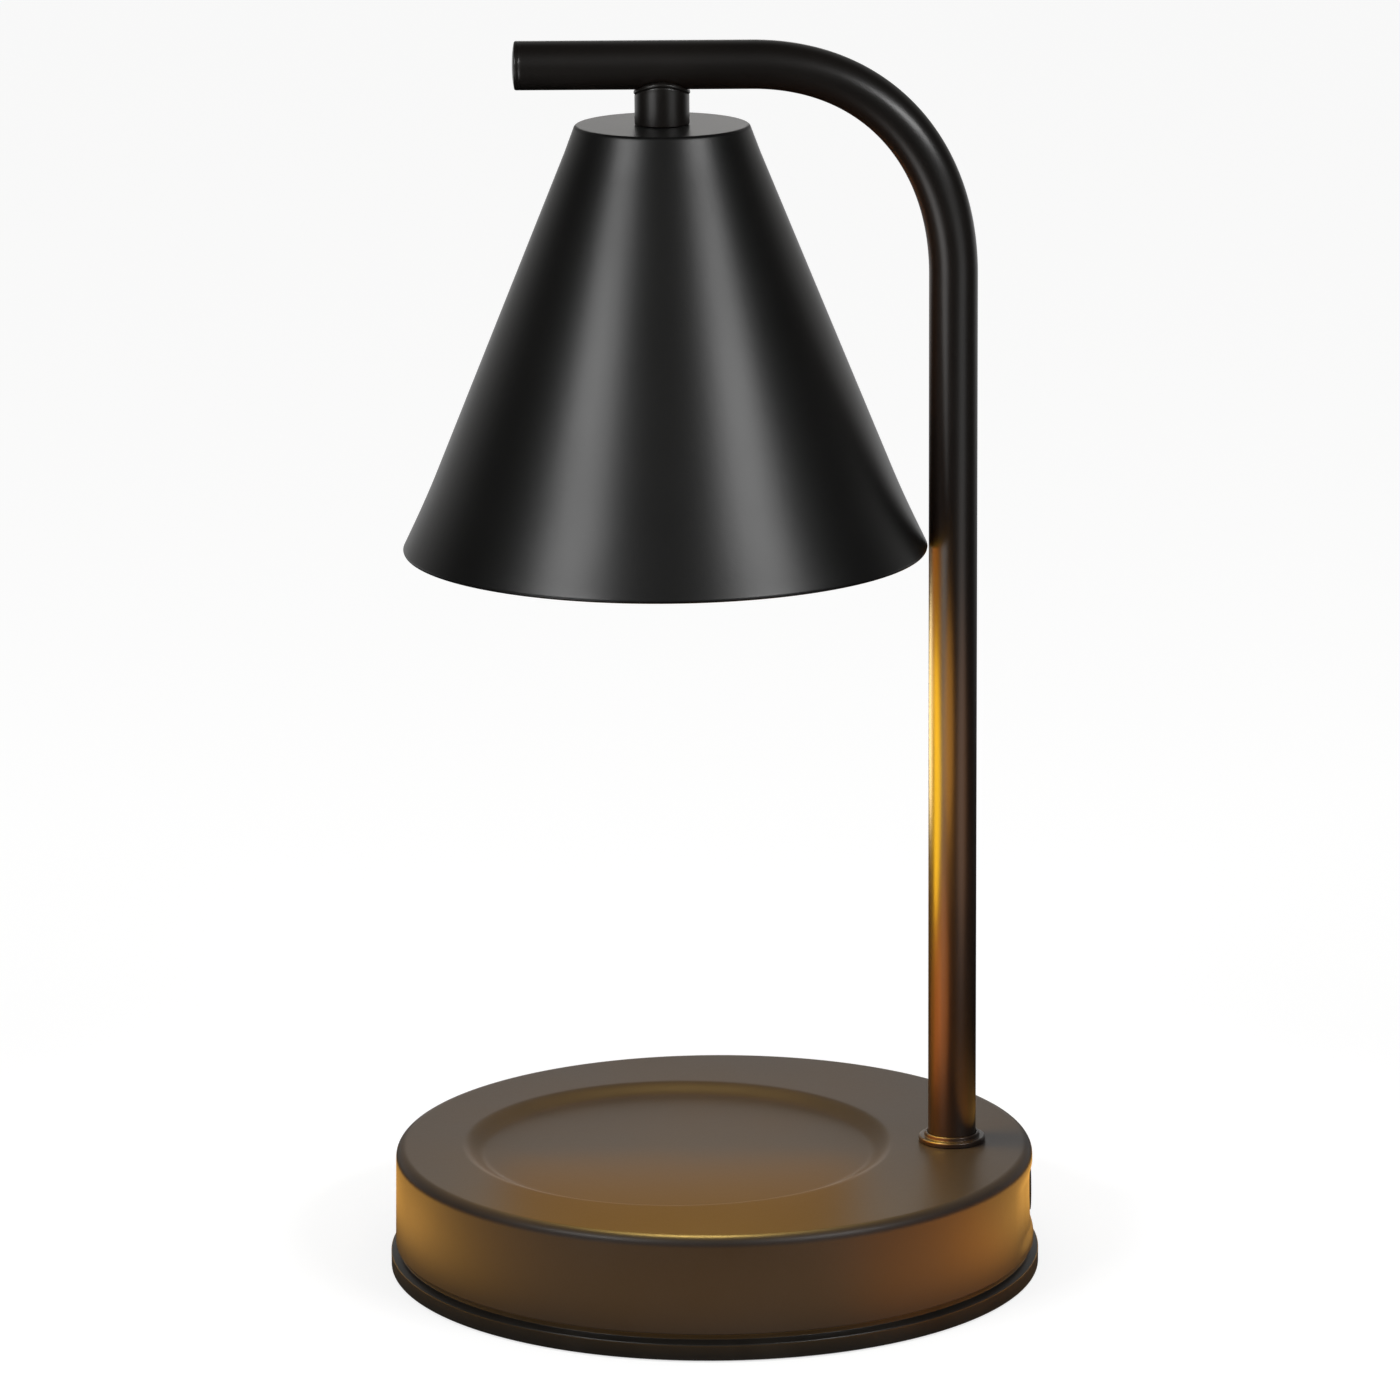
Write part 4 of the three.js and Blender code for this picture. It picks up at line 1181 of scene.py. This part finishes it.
# ------------------------------------------------------------------ CAD nodes that stay: sealed inside
for node in ("base_weight", "pole_stem", "pole_washer", "pole_nut", "socket_contact_1", "socket_contact_2"):
    me = NODES[node].data
    if me.materials:
        me.materials[0] = LOOKS[SLOT_OF[node]]
    else:
        me.materials.append(LOOKS[SLOT_OF[node]])

# ------------------------------------------------------------------ stage: floor and light
FLOOR_PALE = 0.86
WORLD_DIFFUSE = 0.6
BACK_GLOSS = 0.38
BACK_CORE = 1.45
FRONT_GLOSS = 0.14
FLOOR_LIFT = 1.36
# painted light that glossy surfaces see on the floor, by distance from the lamp's axis in metres
FLOOR_SEEN = (
    (0.090, (0.05, 0.04, 0.03)),
    (0.104, (3.15, 1.56, 0.30)),
    (0.130, (2.8, 1.38, 0.26)),
    (0.170, (1.25, 0.62, 0.14)),
    (0.240, (0.30, 0.18, 0.08)),
    (0.400, (0.04, 0.03, 0.02)),
)
FAR_FLOOR = 0.8
STRIPE_LEFT, STRIPE_RIGHT = 2.7, 1.1

floor_mesh = bpy.data.meshes.new("stage_floor")
floor_mesh.from_pydata([(-12, -12, 0), (12, -12, 0), (12, 12, 0), (-12, 12, 0)], [], [(0, 1, 2, 3)])
floor = bpy.data.objects.new("stage_floor", floor_mesh)
floor.location = (0, 0, -0.0002)
scene.collection.objects.link(floor)


def floor_look():
    m = bpy.data.materials.new("stage_pale")
    m.use_nodes = True
    nt = m.node_tree
    nt.nodes.clear()
    new = nt.nodes.new
    out = new("ShaderNodeOutputMaterial")
    pale = new("ShaderNodeBsdfDiffuse")
    pale.inputs["Color"].default_value = (FLOOR_PALE, FLOOR_PALE, FLOOR_PALE * 0.995, 1)
    lift = new("ShaderNodeEmission")
    lift.name = "camera_lift"
    lift.inputs["Color"].default_value = (1, 1, 1, 1)
    lift.inputs["Strength"].default_value = FLOOR_LIFT
    shown = new("ShaderNodeMixShader")
    shown.inputs["Fac"].default_value = 0.5
    nt.links.new(pale.outputs[0], shown.inputs[1])
    nt.links.new(lift.outputs[0], shown.inputs[2])
    # what glossy surfaces see of the floor is painted light: a painted pool of warm lamp light close to the lit lamp,
    # pale far behind it, and painted light that the two softboxes throw on it in front
    seen = new("ShaderNodeEmission")
    seen.inputs["Strength"].default_value = 1.0
    co = new("ShaderNodeTexCoord")
    length = new("ShaderNodeVectorMath")
    length.operation = "LENGTH"
    nt.links.new(co.outputs["Object"], length.inputs[0])
    way = new("ShaderNodeVectorMath")
    way.operation = "NORMALIZE"
    nt.links.new(co.outputs["Object"], way.inputs[0])

    def span(value, a, b, c, d, name=""):
        n = new("ShaderNodeMapRange")
        n.interpolation_type = "SMOOTHSTEP"
        nt.links.new(value, n.inputs["Value"])
        for key, v in zip(("From Min", "From Max", "To Min", "To Max"), (a, b, c, d)):
            n.inputs[key].default_value = v
        n.name = name
        return n.outputs["Result"]

    def toward(x, y):
        n = new("ShaderNodeVectorMath")
        n.operation = "DOT_PRODUCT"
        n.inputs[1].default_value = (x, y, 0)
        nt.links.new(way.outputs[0], n.inputs[0])
        return n.outputs["Value"]

    def both(op, a, b):
        n = new("ShaderNodeMath")
        n.operation = op
        nt.links.new(a, n.inputs[0])
        nt.links.new(b, n.inputs[1])
        return n.outputs[0]

    spread = new("ShaderNodeMapRange")
    spread.inputs["From Min"].default_value = 0.0
    spread.inputs["From Max"].default_value = 0.4
    nt.links.new(length.outputs["Value"], spread.inputs["Value"])
    ramp = new("ShaderNodeValToRGB")
    ramp.name = "floor_seen"
    e = ramp.color_ramp.elements
    while len(e) < len(FLOOR_SEEN):
        e.new(0.5)
    for el, (p, c) in zip(e, FLOOR_SEEN):
        el.position, el.color = p / 0.4, (*[v / 4 for v in c], 1)
    nt.links.new(spread.outputs["Result"], ramp.inputs["Fac"])
    # the painted warm light is for what stands close to it: the base and the pole's foot
    path = new("ShaderNodeLightPath")
    close = span(path.outputs["Ray Length"], 0.09, 0.135, 4.0, 0.0)
    rear = both("MULTIPLY", span(toward(0, 1), -0.9, 0.3, 0.85, 1.40), span(toward(0, 1), 0.55, 0.95, 1.0, 0.66))
    near = new("ShaderNodeVectorMath")
    near.operation = "SCALE"
    rear = both("MULTIPLY", rear, span(toward(-0.766, 0.643), math.cos(math.radians(35)), math.cos(math.radians(8)), 1.0, 0.70))
    rear = both("MULTIPLY", rear, span(toward(-0.966, -0.259), math.cos(math.radians(35)), math.cos(math.radians(8)), 1.0, 1.25))
    nt.links.new(both("MULTIPLY", close, rear), near.inputs["Scale"])
    # painted reflection of redder light on the right of the lamp
    ruddy_light = span(toward(math.sin(math.radians(60)), -math.cos(math.radians(60))), math.cos(math.radians(34)), math.cos(math.radians(8)), 0.0, 0.95, "ruddy_light")
    tint = new("ShaderNodeVectorMath")
    grown = new("ShaderNodeCombineXYZ")
    for i, part in enumerate((1.0, 0.45, 0.0)):
        share = new("ShaderNodeMath")
        share.operation = "MULTIPLY_ADD"
        nt.links.new(ruddy_light, share.inputs[0])
        share.inputs[1].default_value = part
        share.inputs[2].default_value = 1.0
        nt.links.new(share.outputs[0], grown.inputs[i])
    tint.operation = "MULTIPLY"
    nt.links.new(ramp.outputs["Color"], tint.inputs[0])
    nt.links.new(grown.outputs[0], tint.inputs[1])
    nt.links.new(tint.outputs[0], near.inputs[0])
    far = both("MULTIPLY", span(toward(0, 1), 0.2, 0.75, 0.0, FAR_FLOOR, "far_floor"), span(length.outputs["Value"], 0.4, 1.6, 0.0, 1.0))
    out_there = span(length.outputs["Value"], 0.22, 0.5, 0.0, 1.0)
    slant = math.radians(43)
    for side, level in ((-1, STRIPE_LEFT), (1, STRIPE_RIGHT)):
        lobe = span(toward(side * math.sin(slant), -math.cos(slant)), math.cos(math.radians(20)), math.cos(math.radians(4)), 0.0, level, f"stripe_{side}")
        far = both("ADD", far, both("MULTIPLY", lobe, out_there))
    total = new("ShaderNodeVectorMath")
    total.operation = "ADD"
    nt.links.new(near.outputs[0], total.inputs[0])
    grey = new("ShaderNodeCombineXYZ")
    for i in range(3):
        nt.links.new(far, grey.inputs[i])
    nt.links.new(grey.outputs[0], total.inputs[1])
    nt.links.new(total.outputs[0], seen.inputs["Color"])
    first = new("ShaderNodeMixShader")
    nt.links.new(path.outputs["Is Camera Ray"], first.inputs["Fac"])
    nt.links.new(pale.outputs[0], first.inputs[1])
    nt.links.new(shown.outputs[0], first.inputs[2])
    mix = new("ShaderNodeMixShader")
    nt.links.new(path.outputs["Is Glossy Ray"], mix.inputs["Fac"])
    nt.links.new(first.outputs[0], mix.inputs[1])
    nt.links.new(seen.outputs[0], mix.inputs[2])
    # seen from underneath, the floor isn't there
    side = new("ShaderNodeNewGeometry")
    under = both("MULTIPLY", side.outputs["Backfacing"], path.outputs["Is Camera Ray"])
    clear = new("ShaderNodeBsdfTransparent")
    whole = new("ShaderNodeMixShader")
    nt.links.new(under, whole.inputs["Fac"])
    nt.links.new(mix.outputs[0], whole.inputs[1])
    nt.links.new(clear.outputs[0], whole.inputs[2])
    nt.links.new(whole.outputs[0], out.inputs["Surface"])
    return m


floor_mesh.materials.append(floor_look())


def studio_world():
    w = bpy.data.worlds.new("studio")
    scene.world = w
    w.use_nodes = True
    nt = w.node_tree
    nt.nodes.clear()
    new = nt.nodes.new
    out = new("ShaderNodeOutputWorld")
    co = new("ShaderNodeTexCoord")
    part = new("ShaderNodeSeparateXYZ")
    nt.links.new(co.outputs["Generated"], part.inputs[0])

    def span(value, a, b, c, d):
        n = new("ShaderNodeMapRange")
        n.interpolation_type = "SMOOTHSTEP"
        nt.links.new(value, n.inputs["Value"])
        for key, v in zip(("From Min", "From Max", "To Min", "To Max"), (a, b, c, d)):
            n.inputs[key].default_value = v
        return n.outputs["Result"]

    def product(a, b):
        n = new("ShaderNodeMath")
        n.operation = "MULTIPLY"
        nt.links.new(a, n.inputs[0])
        nt.links.new(b, n.inputs[1])
        return n.outputs[0]

    behind = span(part.outputs["Y"], 0.25, 0.80, 0.0, 1.0)
    height = new("ShaderNodeValToRGB")
    stops = ((0.0, 1.0), (0.12, 1.0), (0.28, 0.55), (0.50, 0.75), (0.72, 0.70), (0.92, 0.0))
    e = height.color_ramp.elements
    while len(e) < len(stops):
        e.new(0.5)
    for el, (z, v) in zip(e, stops):
        el.position, el.color = z, (v, v, v, 1)
    nt.links.new(part.outputs["Z"], height.inputs["Fac"])
    backdrop = new("ShaderNodeMapRange")
    backdrop.name = "world_back"
    nt.links.new(product(behind, height.outputs["Color"]), backdrop.inputs["Value"])
    backdrop.inputs["To Max"].default_value = BACK_GLOSS
    facing = new("ShaderNodeVectorMath")
    facing.operation = "DOT_PRODUCT"
    facing.inputs[1].default_value = (0, -0.835, 0.55)
    nt.links.new(co.outputs["Generated"], facing.inputs[0])
    panel = new("ShaderNodeMapRange")
    panel.name = "world_front"
    panel.interpolation_type = "SMOOTHSTEP"
    for key, v in zip(("From Min", "From Max", "To Min", "To Max"), (0.80, 0.985, 0.0, FRONT_GLOSS)):
        panel.inputs[key].default_value = v
    nt.links.new(facing.outputs["Value"], panel.inputs["Value"])
    level = new("ShaderNodeVectorMath")
    level.operation = "DOT_PRODUCT"
    level.inputs[1].default_value = (0, 0.9945, 0.1045)
    nt.links.new(co.outputs["Generated"], level.inputs[0])
    core = new("ShaderNodeMapRange")
    core.name = "world_core"
    core.interpolation_type = "SMOOTHSTEP"
    for key, v in zip(("From Min", "From Max", "To Min", "To Max"), (0.984, 0.998, 0.0, BACK_CORE)):
        core.inputs[key].default_value = v
    nt.links.new(level.outputs["Value"], core.inputs["Value"])
    lights = new("ShaderNodeMath")
    lights.operation = "ADD"
    nt.links.new(backdrop.outputs["Result"], lights.inputs[0])
    nt.links.new(panel.outputs["Result"], lights.inputs[1])
    scale = new("ShaderNodeMath")
    scale.operation = "ADD"
    nt.links.new(lights.outputs[0], scale.inputs[0])
    nt.links.new(core.outputs["Result"], scale.inputs[1])
    for_gloss = new("ShaderNodeBackground")
    for_gloss.inputs["Color"].default_value = (1.0, 0.985, 0.965, 1)
    nt.links.new(scale.outputs[0], for_gloss.inputs["Strength"])
    for_diffuse = new("ShaderNodeBackground")
    for_diffuse.name = "world_diffuse"
    for_diffuse.inputs["Color"].default_value = (1, 1, 1, 1)
    for_diffuse.inputs["Strength"].default_value = WORLD_DIFFUSE
    for_camera = new("ShaderNodeBackground")
    for_camera.inputs["Color"].default_value = (1, 1, 1, 1)
    for_camera.inputs["Strength"].default_value = 0.97
    path = new("ShaderNodeLightPath")
    a = new("ShaderNodeMixShader")
    nt.links.new(path.outputs["Is Glossy Ray"], a.inputs["Fac"])
    nt.links.new(for_diffuse.outputs[0], a.inputs[1])
    nt.links.new(for_gloss.outputs[0], a.inputs[2])
    b = new("ShaderNodeMixShader")
    nt.links.new(path.outputs["Is Camera Ray"], b.inputs["Fac"])
    nt.links.new(a.outputs[0], b.inputs[1])
    nt.links.new(for_camera.outputs[0], b.inputs[2])
    nt.links.new(b.outputs[0], out.inputs["Surface"])


studio_world()


def softbox(name, azimuth, elevation, distance, width, height, radiance, colour=(1, 1, 1), aim=(0, 0, 0.18)):
    """A rectangular soft light. Azimuth is from the photograph's side (-Y), positive to the right."""
    data = bpy.data.lights.new(name, "AREA")
    data.shape = "RECTANGLE"
    data.size, data.size_y = width, height
    data.energy = radiance * math.pi * width * height
    data.color = colour
    ob = bpy.data.objects.new(name, data)
    scene.collection.objects.link(ob)
    a, e = math.radians(azimuth), math.radians(elevation)
    way = Vector((math.sin(a) * math.cos(e), -math.cos(a) * math.cos(e), math.sin(e)))
    ob.location = Vector(aim) + way * distance
    ob.rotation_euler = way.to_track_quat("Z", "Y").to_euler()
    return ob


softbox("softbox_left", -46.0, 27.5, 0.8, 0.35, 0.10, 18.6, aim=(0, 0, 0.212))
softbox("softbox_right", 46.0, 27.5, 0.8, 0.35, 0.10, 20.0, aim=(0, 0, 0.212))


def lit_group(name, members, state):
    group = bpy.data.collections.new(name)
    for i, ob in enumerate(members):
        group.objects.link(ob)
        group.collection_objects[i].light_linking.link_state = state
    return group


PIECES = bpy.data.objects
ON_POLE = lit_group("lit_pole", [PIECES["pole_arm_tube_fine"], PIECES["pole_collar_fine"]], "INCLUDE")
OFF_FLOOR = lit_group("lit_but_floor_and_pole", [floor, PIECES["pole_arm_tube_fine"]], "EXCLUDE")


def warm(name, kind, at, energy, colour, radius, group, toward=None):
    """A warm light of the lit bulb and of what it warms. It isn't seen itself, and leaves the floor alone."""
    data = bpy.data.lights.new(name, kind)
    data.energy, data.color = energy, colour
    if kind == "AREA":
        data.shape, data.size = "DISK", 2 * radius
    else:
        data.shadow_soft_size = radius
    if kind == "SPOT":
        data.spot_size, data.spot_blend = math.radians(105), 1.0
    ob = bpy.data.objects.new(name, data)
    scene.collection.objects.link(ob)
    ob.location = at
    if toward is not None:
        ob.rotation_euler = (Vector(at) - Vector(toward)).to_track_quat("Z", "Y").to_euler()
    ob.visible_camera = False
    ob.light_linking.receiver_collection = group
    return ob


warm("bulb_face", "AREA", (SHADE_X * MM, 0, 0.1815), 0.47, (1.0, 0.69, 0.20), 0.023, OFF_FLOOR)
warm("pole_glow_1", "POINT", (SEAT_X * MM, -0.004, 0.135), 0.14, (1.0, 0.24, 0.02), 0.034, ON_POLE)
warm("pole_glow_2", "POINT", (SEAT_X * MM, -0.004, 0.100), 1.12, (1.0, 0.555, 0.02), 0.036, ON_POLE)
warm("pole_glow_3", "POINT", (SEAT_X * MM, -0.004, 0.044), 0.26, (1.0, 0.24, 0.05), 0.036, ON_POLE)
warm("pole_glow_4", "POINT", (0.012, -0.046, 0.052), 0.17, (1.0, 0.26, 0.04), 0.030, ON_POLE)
warm("pole_glow_5", "SPOT", (0.032, -0.062, 0.115), 0.36, (1.0, 0.42, 0.06), 0.028, ON_POLE, toward=(0.055, 0, 0.095))
warm("pole_glow_6", "SPOT", (0.120, -0.070, 0.094), 0.14, (1.0, 0.46, 0.20), 0.042, ON_POLE, toward=(0.055, 0, 0.085))

warm("pole_glow_7", "SPOT", (-0.008, 0.050, 0.112), 0.42, (1.0, 0.74, 0.34), 0.030, ON_POLE, toward=(0.055, 0, 0.100))

# a faint red-brown glow on the inner side of the bend; only the tube itself shades it
bend_glow = warm("bend_glow", "SPOT", (-0.024, 0.010, 0.200), 0.60, (1.0, 0.34, 0.07), 0.050, ON_POLE, toward=(0.055, 0, 0.226))
bend_glow.light_linking.blocker_collection = lit_group(
    "shades_bend", [PIECES["pole_arm_tube_fine"], PIECES["pole_collar_fine"]], "INCLUDE"
)

# a soft light from beneath for the underside only; the floor doesn't shade it
UNDER = [PIECES["base_bottom_cover_fine"]]
UNDER += [PIECES[f"pad_{k}_fine"] for k in ("back_right", "front_right", "front_left", "back_left")]
UNDER += [PIECES[f"cover_screw_{k}_fine"] for k in (1, 2, 3)]
under_fill = softbox("under_fill", 40.0, -80.0, 0.55, 0.40, 0.25, 5.0, aim=(0, 0, 0))
under_fill.light_linking.receiver_collection = lit_group("lit_underside", UNDER, "INCLUDE")
under_fill.light_linking.blocker_collection = lit_group("shades_underside", [floor], "EXCLUDE")

# The warm column of air and light over the seat, as glossy surfaces see it: a low card that stands
# across the seat and fades out at its foot, head and sides.
card_mesh = bpy.data.meshes.new("stage_glow_card")
card_mesh.from_pydata(
    [(-0.048, 0, 0.0286), (0.048, 0, 0.0286), (0.048, 0, 0.150), (-0.048, 0, 0.150)], [], [(0, 1, 2, 3)]
)
card = bpy.data.objects.new("stage_glow_card", card_mesh)
card.location = (SEAT_X * MM, 0.006, 0)
scene.collection.objects.link(card)
for flag in ("visible_camera", "visible_diffuse", "visible_transmission", "visible_shadow", "visible_volume_scatter"):
    setattr(card, flag, False)


def card_look():
    m = bpy.data.materials.new("stage_glow")
    m.use_nodes = True
    nt = m.node_tree
    nt.nodes.clear()
    new = nt.nodes.new
    co = new("ShaderNodeTexCoord")
    part = new("ShaderNodeSeparateXYZ")
    nt.links.new(co.outputs["Object"], part.inputs[0])
    away = new("ShaderNodeMath")
    away.operation = "ABSOLUTE"
    nt.links.new(part.outputs["X"], away.inputs[0])

    def span(value, a, b, c, d):
        n = new("ShaderNodeMapRange")
        n.interpolation_type = "SMOOTHSTEP"
        nt.links.new(value, n.inputs["Value"])
        for key, v in zip(("From Min", "From Max", "To Min", "To Max"), (a, b, c, d)):
            n.inputs[key].default_value = v
        return n.outputs["Result"]

    def product(a, b):
        n = new("ShaderNodeMath")
        n.operation = "MULTIPLY"
        nt.links.new(a, n.inputs[0])
        nt.links.new(b, n.inputs[1])
        return n.outputs[0]

    foot = span(part.outputs["Z"], 0.0286, 0.038, 0.0, 1.0)
    head = span(part.outputs["Z"], 0.110, 0.150, 1.0, 0.0)
    flank = span(away.outputs[0], 0.034, 0.048, 1.0, 0.0)
    clear = new("ShaderNodeBsdfTransparent")
    glow = new("ShaderNodeEmission")
    glow.inputs["Color"].default_value = (1.0, 0.385, 0.0, 1)
    glow.inputs["Strength"].default_value = 0.80
    mix = new("ShaderNodeMixShader")
    nt.links.new(product(product(foot, head), flank), mix.inputs["Fac"])
    nt.links.new(clear.outputs[0], mix.inputs[1])
    nt.links.new(glow.outputs[0], mix.inputs[2])
    out = new("ShaderNodeOutputMaterial")
    nt.links.new(mix.outputs[0], out.inputs["Surface"])
    return m


card_mesh.materials.append(card_look())
